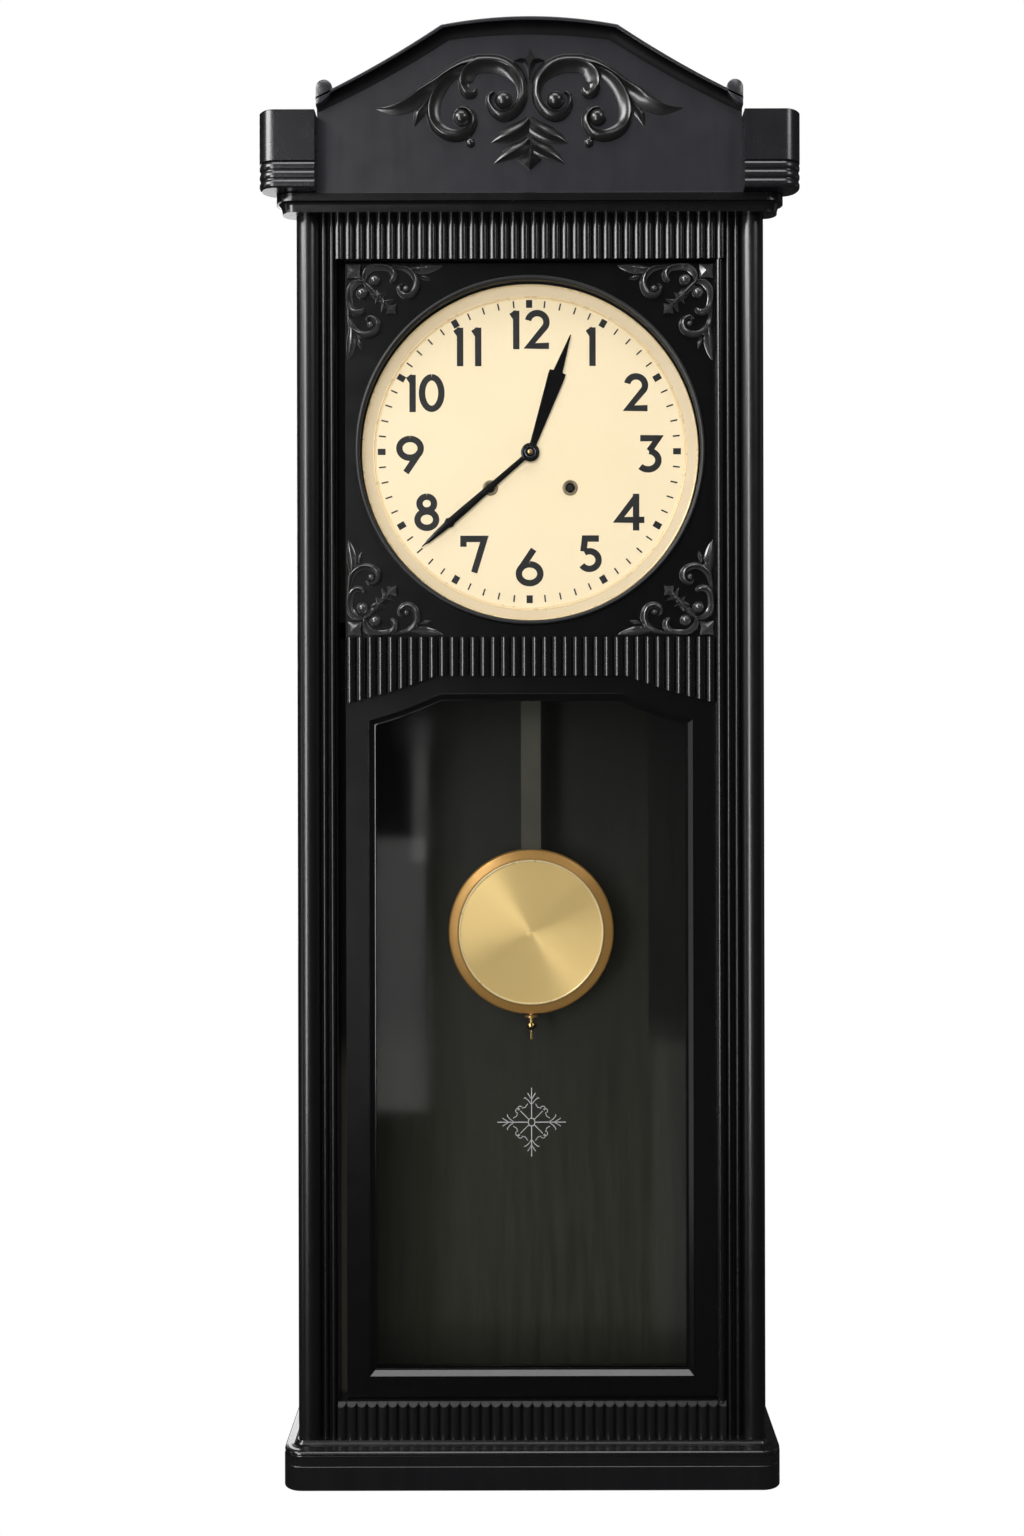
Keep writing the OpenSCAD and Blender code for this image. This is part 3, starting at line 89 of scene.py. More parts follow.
class Nodes:
    # A material's node tree with short calls for the nodes used here
    def __init__(self, name):
        self.material = bpy.data.materials.new(name)
        self.material.use_nodes = True
        self.tree = self.material.node_tree
        self.tree.nodes.clear()
        self.output = self.tree.nodes.new("ShaderNodeOutputMaterial")

    def add(self, kind, **values):
        n = self.tree.nodes.new("ShaderNode" + kind)
        for key, value in values.items():
            setattr(n, key, value)
        return n

    def link(self, a, b):
        self.tree.links.new(a, b)

    def place(self):
        return self.add("TexCoord").outputs["Object"]

    def noise(self, scale, detail=3, rough=0.55, vector=None, stretch=None):
        source = vector or self.place()
        if stretch:
            m = self.add("Mapping")
            m.inputs["Scale"].default_value = stretch
            self.link(source, m.inputs["Vector"])
            source = m.outputs[0]
        n = self.add("TexNoise")
        n.inputs["Scale"].default_value = scale
        n.inputs["Detail"].default_value = detail
        n.inputs["Roughness"].default_value = rough
        self.link(source, n.inputs["Vector"])
        return n.outputs["Fac"]

    def ranged(self, value, low, high, fromLow=0.3, fromHigh=0.7):
        n = self.add("MapRange")
        ends = {"From Min": fromLow, "From Max": fromHigh, "To Min": low, "To Max": high}
        for key, number in ends.items():
            n.inputs[key].default_value = number
        self.link(value, n.inputs["Value"])
        return n.outputs[0]

    def colours(self, value, stops):
        n = self.add("ValToRGB")
        ramp = n.color_ramp
        while len(ramp.elements) < len(stops):
            ramp.elements.new(0.5)
        for e, (where, colour) in zip(ramp.elements, stops):
            e.position = where
            e.color = (*colour, 1)
        self.link(value, n.inputs[0])
        return n.outputs[0]

    def math(self, kind, a, b):
        n = self.add("Math", operation=kind)
        for socket, value in zip(n.inputs, (a, b)):
            if isinstance(value, (int, float)):
                socket.default_value = value
            else:
                self.link(value, socket)
        return n.outputs[0]

    def bump(self, height, strength, distance, normal=None):
        n = self.add("Bump")
        n.inputs["Strength"].default_value = strength
        n.inputs["Distance"].default_value = distance
        self.link(height, n.inputs["Height"])
        if normal:
            self.link(normal, n.inputs["Normal"])
        return n.outputs[0]

    def principled(self, **values):
        n = self.add("BsdfPrincipled")
        for key, value in values.items():
            n.inputs[key.replace("_", " ")].default_value = value
        self.link(n.outputs[0], self.output.inputs[0])
        return n


def mottled(name, colourA, colourB, roughness, patch=40, fine=900, bump=0.05, **values):
    # Two close colours in soft patches, roughness that varies with them, and a fine surface relief
    m = Nodes(name)
    shader = m.principled(**values)
    m.link(m.colours(m.noise(patch), [(0.35, colourA), (0.65, colourB)]), shader.inputs["Base Color"])
    m.link(m.ranged(m.noise(patch * 3), *roughness), shader.inputs["Roughness"])
    m.link(m.bump(m.noise(fine, 2), bump, 0.0002), shader.inputs["Normal"])
    return m.material


def lacquer(name, tone, roughness, relief=0.015, coat=0.35):
    # Black lacquer over closed grain: a satin coat with faint unevenness from the brush
    m = Nodes(name)
    shader = m.principled(Coat_Weight=coat, Coat_Roughness=0.16, Specular_IOR_Level=0.45)
    grain = m.noise(26, 4, 0.6, stretch=(6, 6, 0.35))
    dark = tuple(0.75 * c for c in tone)
    m.link(m.colours(grain, [(0.3, dark), (0.7, tone)]), shader.inputs["Base Color"])
    m.link(m.ranged(m.noise(55), *roughness), shader.inputs["Roughness"])
    uneven = m.bump(m.noise(160, 2, stretch=(1, 1, 0.3)), relief, 0.0004)
    m.link(m.bump(m.noise(1400, 2), relief * 0.5, 0.0001, uneven), shader.inputs["Normal"])
    return m.material


def wood(name, dark, light, roughness, fall=(1.0, 1.0), paintedShadeMargins=None):
    # Stained boards: long streaks along the height with finer pores in them. The tone is multiplied by
    # fall[0] at the height of the frieze, as painted shade under it, and by fall[1] at the foot, as painted
    # light there. Painted shade margins darken the boards to the left and to the right of two lines, above
    # a height, by a share, where the shade of the side walls falls
    m = Nodes(name)
    shader = m.principled(Specular_IOR_Level=0.35)
    streaks = m.noise(34, 5, 0.62, stretch=(3.2, 3.2, 0.22))
    pores = m.noise(300, 3, 0.6, stretch=(1, 1, 0.06))
    both = m.math("MULTIPLY", streaks, m.ranged(pores, 0.75, 1.1))
    split = m.add("SeparateXYZ")
    m.link(m.place(), split.inputs[0])
    # Painted shade under the frieze and painted light at the foot
    tone = m.ranged(split.outputs["Z"], fall[0], fall[1], -0.42, -0.84)
    # Painted shade beside the side walls
    if paintedShadeMargins:
        left, right, height = paintedShadeMargins["left"], paintedShadeMargins["right"], paintedShadeMargins["above"]
        onLeft = m.ranged(split.outputs["X"], 1, 0, left - 0.001, left + 0.001)
        onRight = m.ranged(split.outputs["X"], 0, 1, right - 0.001, right + 0.001)
        high = m.ranged(split.outputs["Z"], 0, paintedShadeMargins["share"], height - 0.02, height + 0.02)
        shade = m.math("MULTIPLY", m.math("ADD", onLeft, onRight), high)
        tone = m.math("MULTIPLY", tone, m.math("SUBTRACT", 1.0, shade))
    stained = m.add("VectorMath", operation="SCALE")
    m.link(m.colours(both, [(0.25, dark), (0.62, light)]), stained.inputs[0])
    m.link(tone, stained.inputs["Scale"])
    m.link(stained.outputs[0], shader.inputs["Base Color"])
    m.link(m.ranged(streaks, *roughness), shader.inputs["Roughness"])
    m.link(m.bump(pores, 0.18, 0.0003), shader.inputs["Normal"])
    return m.material


def turned(name, centre, colours, roughness, grooves, anisotropy, metallic):
    # Turned metal: fine rings round the centre drive bump and a slight change of tone, and the brushed
    # gloss runs round it as well, so a light draws two fans
    m = Nodes(name)
    shader = m.principled(Metallic=metallic, Anisotropic=anisotropy, Anisotropic_Rotation=0.25)
    away = m.add("VectorMath", operation="SUBTRACT")
    away.inputs[1].default_value = centre
    m.link(m.place(), away.inputs[0])
    flat = m.add("VectorMath", operation="MULTIPLY")
    flat.inputs[1].default_value = (1, 0, 1)
    m.link(away.outputs[0], flat.inputs[0])
    reach = m.add("VectorMath", operation="LENGTH")
    m.link(flat.outputs[0], reach.inputs[0])
    ring = m.add("CombineXYZ")
    m.link(reach.outputs["Value"], ring.inputs[0])
    rings = m.noise(grooves, 2, 0.7, vector=ring.outputs[0])
    m.link(m.colours(rings, [(0.3, colours[0]), (0.7, colours[1])]), shader.inputs["Base Color"])
    m.link(m.ranged(m.noise(60), *roughness), shader.inputs["Roughness"])
    m.link(m.bump(rings, 0.12, 0.00005), shader.inputs["Normal"])
    m.link(m.add("Tangent", direction_type="RADIAL", axis="Y").outputs[0], shader.inputs["Tangent"])
    return m.material


def rod(name, painted, metal, change):
    # Lacquered rod that ends in bare metal below the height given as change
    m = Nodes(name)
    shader = m.principled()
    split = m.add("SeparateXYZ")
    m.link(m.place(), split.inputs[0])
    bare = m.ranged(split.outputs["Z"], 1.0, 0.0, change - 0.0005, change + 0.0005)
    both = m.add("Mix", data_type="RGBA")
    m.link(bare, both.inputs["Factor"])
    for socket, scale, colour, lift in ((6, 30, painted, 1.15), (7, 200, metal, 1.2)):
        lighter = tuple(lift * c for c in colour)
        m.link(m.colours(m.noise(scale), [(0.35, colour), (0.65, lighter)]), both.inputs[socket])
    m.link(both.outputs[2], shader.inputs["Base Color"])
    m.link(m.math("MULTIPLY", bare, 0.8), shader.inputs["Metallic"])
    m.link(m.ranged(m.noise(80), 0.3, 0.42), shader.inputs["Roughness"])
    m.link(m.bump(m.noise(900, 2), 0.05, 0.0002), shader.inputs["Normal"])
    return m.material


def glass(name, tint, streak):
    # Window glass: clear, with a mirror of strength 0.04 + 0.96 (1 - cos a)^5, a little blurred by haze
    m = Nodes(name)
    clear = m.add("BsdfTransparent")
    clear.inputs["Color"].default_value = (*tint, 1)
    mirror = m.add("BsdfGlossy")
    m.link(m.ranged(m.noise(9), 0.3 * streak, streak), mirror.inputs["Roughness"])
    m.link(m.bump(m.noise(7, 1), 0.15, 0.0006), mirror.inputs["Normal"])
    facing = m.add("LayerWeight").outputs["Facing"]
    edge = m.math("ADD", m.math("MULTIPLY", m.math("POWER", facing, 5.0), 0.96), 0.04)
    mix = m.add("MixShader")
    m.link(edge, mix.inputs[0])
    m.link(clear.outputs[0], mix.inputs[1])
    m.link(mirror.outputs[0], mix.inputs[2])
    m.link(mix.outputs[0], m.output.inputs[0])
    return m.material


# Lacquers: tone, least and greatest roughness, brush relief, strength of the coat. The case is one black
# lacquer: the lighter tones of the plinth, the crest panel, its carving, the crown blocks and the corner
# carvings are painted light, and the darker tone of the door is painted shade
caseLacquer = lacquer("caseLacquer", (0.0035, 0.0035, 0.0038), (0.24, 0.28))
# Lighter copy of the case lacquer for the plinth and the lower frieze: painted light and reflection from
# the floor
plinthLacquerPaintedLight = lacquer("plinthLacquerPaintedLight", (0.0075, 0.0075, 0.0082), (0.22, 0.26))
pilasterLacquer = lacquer("pilasterLacquer", (0.0032, 0.0032, 0.0036), (0.32, 0.37))
# Lighter copy of the case lacquer for the crest panel and the cap's fillet: painted light on the top of the
# case
crestLacquerPaintedLight = lacquer("crestLacquerPaintedLight", (0.019, 0.0185, 0.0225), (0.3, 0.35))
# Lighter copy of the case lacquer for the crown blocks: painted light on the top of the case
blockLacquerPaintedLight = lacquer("blockLacquerPaintedLight", (0.012, 0.0118, 0.0138), (0.25, 0.29))
# Lighter copy of the case lacquer for the crest carving: painted light on the top of the case
carvedLacquerPaintedLight = lacquer("carvedLacquerPaintedLight", (0.011, 0.0106, 0.0102), (0.27, 0.33), 0.03, 0.4)
# Much lighter copy of the case lacquer for the corner carvings: painted light that brings out their relief
cornerLacquerPaintedLight = lacquer("cornerLacquerPaintedLight", (0.04, 0.0395, 0.039), (0.19, 0.25), 0.03, 1.0)
# Darker copy of the case lacquer for the door's frame and dial surround: painted shade
doorLacquerPaintedShade = lacquer("doorLacquerPaintedShade", (0.0018, 0.0018, 0.0022), (0.21, 0.25))
beadLacquer = lacquer("beadLacquer", (0.0024, 0.0024, 0.0027), (0.2, 0.24), 0.01)
bezelLacquer = lacquer("bezelLacquer", (0.004, 0.004, 0.004), (0.42, 0.5), 0.04, 0.0)
# Near-black for the hollow of the crest cap: painted shade in a hollow of the case's black lacquer
paintedShadeBlack = mottled("paintedShadeBlack", (0.0016, 0.0016, 0.0018), (0.0026, 0.0026, 0.003), (0.5, 0.62),
    Specular_IOR_Level=0.12)
handBlack = mottled("handBlack", (0.0018, 0.0018, 0.0022), (0.003, 0.003, 0.0034), (0.2, 0.26), patch=90,
    Specular_IOR_Level=0.35)
# Boards: dark and light stain, roughness, and for the inner boards the painted shade and light over the
# height and the painted shade at the margins beside the side walls
innerBoards = wood("innerBoards", (0.0135, 0.0125, 0.0095), (0.02, 0.0188, 0.0145), (0.42, 0.6),
    (0.25, 1.7), {"left": -0.0945, "right": 0.1077, "above": -0.668, "share": 0.85})
dialBoards = wood("dialBoards", (0.0016, 0.0013, 0.0011), (0.003, 0.0026, 0.0022), (0.6, 0.75))
# Metals, enamel and ink: two colours, roughness, size of the patches
brass = mottled("brass", (0.50, 0.34, 0.13), (0.62, 0.45, 0.2), (0.22, 0.38), Metallic=1.0)
agedBrass = mottled("agedBrass", (0.30, 0.21, 0.10), (0.42, 0.30, 0.15), (0.3, 0.5), Metallic=1.0)
bobCentre = (0, 0, bobZ * mm)
bobFaceMetal = turned("bobFaceMetal", bobCentre, ((0.88, 0.60, 0.25), (0.95, 0.68, 0.31)), (0.38, 0.44),
    5200, 0.9, 0.35)
bobRimMetal = turned("bobRimMetal", bobCentre, ((0.50, 0.26, 0.075), (0.58, 0.31, 0.095)), (0.34, 0.44),
    3000, 0.35, 0.4)
edgeMetal = mottled("edgeMetal", (0.95, 0.74, 0.42), (0.98, 0.80, 0.5), (0.25, 0.35), patch=60,
    Metallic=0.25)
rimMetal = mottled("rimMetal", (0.76, 0.62, 0.42), (0.78, 0.645, 0.445), (0.34, 0.4), patch=30,
    Specular_IOR_Level=0.15)
eyeletBronze = mottled("eyeletBronze", (0.20, 0.165, 0.105), (0.28, 0.23, 0.15), (0.3, 0.42), patch=200,
    Metallic=0.3)
iron = mottled("iron", (0.022, 0.022, 0.024), (0.035, 0.034, 0.035), (0.5, 0.7), bump=0.15)
steel = mottled("steel", (0.42, 0.43, 0.44), (0.52, 0.52, 0.53), (0.22, 0.36), Metallic=1.0)
bluedSteel = mottled("bluedSteel", (0.05, 0.06, 0.10), (0.09, 0.10, 0.14), (0.25, 0.38), Metallic=1.0)
# Near-black for the winding arbors: painted shade in the winding holes, not the colour of their steel
paintedShadeSteel = mottled("paintedShadeSteel", (0.002, 0.002, 0.0026), (0.004, 0.004, 0.005), (0.35, 0.5), patch=200)
bareBelow = (bobZ - 73.5) * mm  # the rod's bare end starts at the lower edge of the bob
rodLacquer = rod("rodLacquer", (0.045, 0.041, 0.032), (0.55, 0.36, 0.15), bareBelow)
enamel = mottled("enamel", (0.945, 0.80, 0.54), (0.965, 0.82, 0.565), (0.36, 0.44), patch=14, fine=500,
    bump=0.006, Specular_IOR_Level=0.4)
ink = mottled("ink", (0.011, 0.012, 0.012), (0.017, 0.018, 0.018), (0.5, 0.62), patch=120,
    Specular_IOR_Level=0.25)
frost = mottled("frost", (0.34, 0.34, 0.34), (0.46, 0.46, 0.45), (0.5, 0.6), patch=300)
windowGlass = glass("windowGlass", (0.93, 0.94, 0.92), 0.09)
dialGlassClear = glass("dialGlassClear", (0.99, 0.99, 0.985), 0.02)

# What each CAD node is made of; the rest of the case is in the case's lacquer
materialOf = {
    "back_board": innerBoards, "door_posts": innerBoards, "dial_board": dialBoards, "hanger_plate": brass,
    "plinth_block": plinthLacquerPaintedLight, "plinth_moulding": plinthLacquerPaintedLight, "lower_frieze": plinthLacquerPaintedLight,
    "left_crown_block": blockLacquerPaintedLight, "right_crown_block": blockLacquerPaintedLight, "pediment_panel": crestLacquerPaintedLight,
    "dial_surround": doorLacquerPaintedShade, "left_stile": doorLacquerPaintedShade, "right_stile": doorLacquerPaintedShade,
    "arched_top_rail": doorLacquerPaintedShade, "bottom_rail": doorLacquerPaintedShade, "bezel_ring": bezelLacquer,
    "lower_glass": windowGlass, "dial_glass": dialGlassClear, "catch_magnet": steel, "catch_plate": steel,
    "door_pivot_pins": steel, "dial_plate": enamel, "winding_eyelets": eyeletBronze,
    "minute_hand": handBlack, "hour_hand": handBlack, "cannon_pinion": steel, "minute_wheel": brass,
    "movement_front_plate": brass, "movement_back_plate": brass, "suspension_bracket": brass,
    "center_wheel": brass, "second_wheel": brass, "third_wheel": brass, "escape_wheel": brass,
    "anchor": steel, "time_barrel": brass, "strike_barrel": brass, "hammer": brass,
    # The winding arbors are in near-black, as painted shade in their holes
    "time_winding_arbor": paintedShadeSteel, "strike_winding_arbor": paintedShadeSteel,
    "gong_stand": iron, "gong_coil": bluedSteel, "suspension_spring": steel, "pendulum_rod": rodLacquer,
    "bob_shell": bobRimMetal, "bob_face": bobFaceMetal, "rating_nut": brass,
}
for name, node in nodes.items():
    node.data.materials.clear()
    node.data.materials.append(materialOf.get(name, caseLacquer))
print("stage: materials")


# Meshes: a surface is (points, faces); points are rows of x, y, z in millimetres of the row frame

def piece(name, surfaces, material, body, hides=(), sharp=35):
    # One object from several surfaces, shaded smooth except where faces meet at more than the sharp angle.
    # A closed surface whose signed volume is negative is turned over: the volume is the sum of
    # a . (b x c) / 6 over its triangles
    points, faces, start = [], [], 0
    for p, f in surfaces:
        fans = np.array([(q[0], q[i], q[i + 1]) for q in f for i in range(1, len(q) - 1)])
        a, b, c = (p - p[0])[fans.T]
        if (a * np.cross(b, c)).sum() < 0:
            f = [q[::-1] for q in f]
        points.append(p)
        faces += [[i + start for i in q] for q in f]
        start += len(p)
    mesh = bpy.data.meshes.new(name)
    mesh.from_pydata((np.vstack(points) * mm).tolist(), [], faces)
    mesh.validate()
    mesh.polygons.foreach_set("use_smooth", np.ones(len(mesh.polygons), bool))
    mesh.set_sharp_from_angle(angle=math.radians(sharp))
    mesh.materials.append(material)
    made = bpy.data.objects.new(name, mesh)
    bpy.context.scene.collection.objects.link(made)
    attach(made, body)
    if hides:
        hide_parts(*hides)


def gridFaces(rows, columns, around=False):
    # Quads between neighbouring rings of points; with around the last ring is joined to the first
    i, j = np.divmod(np.arange((rows if around else rows - 1) * columns), columns)
    row, nextRow, nextColumn = i * columns, (i + 1) % rows * columns, (j + 1) % columns
    return np.stack([row + j, row + nextColumn, nextRow + nextColumn, nextRow + j], 1).tolist()


def loft(rings):
    # Closed body through rings of equally many points, with a flat face over the first and the last ring
    rows, columns = len(rings), len(rings[0])
    last = (rows - 1) * columns
    ends = [list(range(columns - 1, -1, -1)), list(range(last, last + columns))]
    return np.reshape(rings, (-1, 3)), gridFaces(rows, columns) + ends


def band(rings):
    # Closed band through rings of equally many points, the last joined to the first
    return np.reshape(rings, (-1, 3)), gridFaces(len(rings), len(rings[0]), True)


def mirrored(surface):
    # Mirror image of a surface in the plane x = 0
    return surface[0] * (-1, 1, 1), surface[1]


def swapped(surface):
    # Mirror image of a surface about the diagonal x = z
    return surface[0][:, [2, 1, 0]], surface[1]


def circle(steps):
    # Angles once round a circle
    return np.linspace(0, 2 * math.pi, steps, endpoint=False)


def smoothPath(controls, steps):
    # Catmull-Rom curve: each point blends its four neighbouring controls with cubic weights
    c = np.asarray(controls, float)
    spans = len(c) - 1
    padded = np.vstack([c[0], c, c[-1]])
    a, b, d, e = (padded[k:k + spans, None] for k in range(4))
    t = (np.arange(steps) / steps)[:, None]
    curve = 0.5 * (2 * b + (d - a) * t + (2 * a - 5 * b + 4 * d - e) * t ** 2
        + (3 * b - a - 3 * d + e) * t ** 3)
    return np.vstack([curve.reshape(spans * steps, -1), c[-1:]])


def sideways(path):
    # Unit vectors to the left of a path in x and z
    d = np.gradient(path[:, :2], axis=0)
    d /= np.linalg.norm(d, axis=1)[:, None] + 1e-12
    return np.stack([-d[:, 1], d[:, 0]], 1)


# Half sections of a carved band: [share of the way from the ridge to the edge, share of the height]
fullSide = np.array([[1, 0], [1, 0.18], [0.86, 0.42], [0.6, 0.7], [0.32, 0.9], [0.12, 0.985]])
hollowSide = np.array([[0.1, 0.93], [0.25, 0.7], [0.45, 0.45], [0.7, 0.25], [0.94, 0.15], [1, 0.13],
    [1, 0]])
leastCut = 0.2  # no flank is narrower and no ridge is lower than this


def carvedBand(stations, steps, y, turn=1):
    # Band on a wall plane y, carried along its ridge. A station is [x, z, a, b, h]: the ridge stands h out
    # of the wall, a full flank falls over a on the outer side and a hollow flank over b on the inner side.
    # The outer side is to the right of the path, or to its left where turn is -1
    path = smoothPath(stations, steps)
    x, z = path.T[:2, :, None]
    outer, inner, height = np.maximum(path.T[2:, :, None], leastCut)
    across = np.hstack([-outer * fullSide[:, 0], 0 * x, inner * hollowSide[:, 0]])
    out = height * np.concatenate([fullSide[:, 1], [1], hollowSide[:, 1]])
    if turn < 0:
        across, out = -across[:, ::-1], out[:, ::-1]
    sideX, sideZ = sideways(path).T[:, :, None]
    rings = np.stack([x + across * sideX, y - out, z + across * sideZ], 2)
    return loft(rings[::-1])


def dome(x, z, r, y, height, rows=14, columns=36):
    # Half ball on a wall plane: r cos(a) across and height sin(a) out of it, with a small flat at the pole
    a = np.linspace(0, math.pi / 2 * 0.985, rows)[:, None]
    t = circle(columns)
    rings = [x + r * np.cos(a) * np.cos(t), y - height * np.sin(a), z + r * np.cos(a) * np.sin(t)]
    return loft(np.stack(np.broadcast_arrays(*rings), 2))


def lathe(profile, columns, centre, hollow=False):
    # Turned body: each profile point [radius, y] goes round the centre. A hollow body is a ring, and its
    # profile is the whole outline of its section
    r, y = np.array(profile, float).T[:, :, None]
    t = circle(columns)
    rings = np.stack(np.broadcast_arrays(centre[0] + r * np.cos(t), y, centre[1] + r * np.sin(t)), 2)
    return band(rings) if hollow else loft(rings)


# Crest carving
# Right half: stations [x, height above the cornice, outer flank, inner flank, relief]
crestBands = {
    "volute": [[44.6, 87.2, 1.8, 1.4, 2.5], [47.3, 83.6, 4.2, 2, 3.6], [52.4, 84, 4.6, 4.2, 4.6],
        [56.4, 88.6, 2.8, 7.4, 5.2], [57.3, 94.2, 2, 10.2, 5.4], [55.2, 100.6, 2, 10.6, 5.4],
        [50.6, 105.7, 2.8, 9.7, 5.4], [44.1, 108.5, 6.9, 8.8, 5.6], [37.7, 109.6, 6.5, 9, 5.6],
        [28.4, 109.2, 6.6, 8.8, 5.6], [21, 106.9, 6.6, 8.8, 5.6], [13.7, 101.5, 6.8, 6.9, 5.5],
        [8.3, 94.2, 6.1, 5.1, 5.4], [6.3, 85.9, 4.8, 3.9, 5.3], [6.7, 79.4, 5.1, 3.5, 5.2],
        [10, 72.9, 5.7, 3.5, 5.1], [15.5, 67.9, 6.3, 3, 5], [22, 65.8, 6.3, 3.2, 4.9],
        [28, 67.7, 5.1, 2.8, 4.8], [32.1, 72, 3.7, 2.3, 4.6], [33.8, 76.6, 3, 2, 4.4],
        [32.6, 81.4, 3, 2, 4.1], [29.2, 84.2, 1.7, 1.4, 3.4]],
    "leaf": [[127.6, 71.4, 0.3, 0.3, 0.4], [119.8, 71.6, 0.9, 4.2, 2], [110.1, 73.7, 2, 8.3, 3.6],
        [99.5, 79.2, 3.1, 10.2, 4.6], [90.3, 85.4, 3.9, 7.8, 5], [78.3, 92.5, 4.4, 4.6, 5.2],
        [70.9, 97.9, 4.6, 3, 5.3], [63.5, 102.5, 4.6, 2, 5.4], [56.1, 105.9, 5.7, 1.4, 5.4],
        [48.7, 107.5, 7, 0.9, 5.4], [42.3, 108.7, 6.8, 0.9, 5.4]],
    "scroll": [[53.3, 105.7, 1.1, 2.3, 3.5], [61.7, 102, 1.3, 5.5, 4.4], [70, 96.5, 1.3, 7.4, 4.8],
        [76.4, 89.1, 1.5, 8.3, 5], [81, 80.3, 1.8, 8.8, 5.1], [83.3, 71.1, 2, 9.2, 5.2],
        [82.7, 62.8, 2.6, 8.8, 5.2], [79.2, 55.4, 3.3, 7.8, 5.2], [72.7, 50.3, 4.2, 6.9, 5.1],
        [65.3, 48.2, 4.8, 5.7, 5], [58, 48.8, 5.4, 4.4, 4.9], [52, 51.7, 5.1, 3.5, 4.8],
        [48.3, 56.8, 4.6, 2.6, 4.7], [47.5, 61.9, 4.6, 2, 4.5], [49.2, 66.5, 4.2, 1.8, 4.2],
        [53.3, 70.2, 3, 1.7, 3.8], [58.4, 70.2, 2, 1.3, 3.2], [62.1, 66.9, 1.3, 0.7, 2.2]],
    "leaflet": [[82.4, 81.2, 0.6, 0.7, 2], [88, 72.5, 1.3, 3.7, 3], [92.6, 65.6, 3.7, 4.6, 3.8],
        [95.3, 56.1, 0.3, 0.3, 0.4]],
    "upperLeaf": [[0.3, 60.9, 4.2, 6.5, 5.2], [6.3, 54, 6.9, 6, 5], [15.5, 48.5, 7.8, 5.5, 4.6],
        [23.8, 45.7, 5.5, 4.4, 3.2], [32.3, 42.2, 0.3, 0.3, 0.3]],
    "lowerLeaf": [[0.3, 44.3, 4.2, 5.5, 4.8], [6.3, 37.9, 6.5, 5.1, 4.7], [14.6, 33.3, 7.2, 4.2, 4.1],
        [22.4, 29.4, 4.6, 2.6, 2.7], [29.5, 25.3, 0.3, 0.3, 0.3]],
}
crestSet = {
    "relief": 1.15,  # height of the bands against their stations
    "sunk": 0.05,  # how far they stand in the panel
    "steps": 8,  # points from one station to the next
    "rightOfPath": ("volute", "leaf"),  # bands with their full flank on the right
    "stem": [[52, 50, 2, 2, 2], [50.6, 46.6, 1.6, 1.6, 2.4], [49.4, 43, 1.4, 1.4, 2.4]],
    "stemSteps": 5,
    "balls": ((21.5, 77.6, 7.6), (56.6, 63.2, 7.3), (49.2, 42.5, 4.1)),  # x, height, radius
    "ballRise": 0.92,  # height of a ball against its radius
}


def aboveCornice(stations, relief=1):
    # The same stations with their heights in the row frame
    return [[x, z + corniceZ, a, b, relief * h] for x, z, a, b, h in stations]


crestWall = crestY + crestSet["sunk"]
crest = []
for name, stations in crestBands.items():
    lifted = aboveCornice(stations, crestSet["relief"])
    turn = 1 if name in crestSet["rightOfPath"] else -1
    crest.append(carvedBand(lifted, crestSet["steps"], crestWall, turn))
for x, z, r in crestSet["balls"]:
    crest.append(dome(x, z + corniceZ, r, crestWall, crestSet["ballRise"] * r))
crest.append(carvedBand(aboveCornice(crestSet["stem"]), crestSet["stemSteps"], crestWall))
crest += [mirrored(s) for s in crest]

# Leaves on the middle line: right halves of the outline and of the spine, and the relief
middleLeaves = {
    "bud": ([[0, 121.1], [1.4, 116.4], [5.4, 112.4], [12.6, 110.2], [5.4, 108.6], [2.1, 102.9], [0, 92.3]],
        [[0, 117.5], [0.3, 114.8], [2.4, 111.4], [7.6, 110.2], [2.4, 109.2], [0.4, 104.5], [0, 97]], 6.2),
    "foot": ([[0, 39.3], [3, 33.7], [9.8, 28.1], [5.4, 24.5], [0, 19.6]],
        [[0, 35.5], [0.3, 32], [1.2, 27.6], [0.5, 25.4], [0, 22.6]], 6.4),
}


def bothSides(half, y):
    # Closed outline at depth y from its right half: down the left side, then up the right side
    half = np.array(half, float) + (0, corniceZ)
    return np.insert(np.vstack([half * (-1, 1), half[-2:0:-1]]), 1, y, 1)


for outline, spine, height in middleLeaves.values():
    # A low wall stands under the outline, and straight flanks rise from it to the spine
    crest.append(loft([bothSides(outline, crestY), bothSides(outline, crestY - 0.3 * height),
        bothSides(spine, crestY - height)]))
piece("crestCarving", crest, carvedLacquerPaintedLight, "case", ["crest_carving"])
print("stage: crest carving")

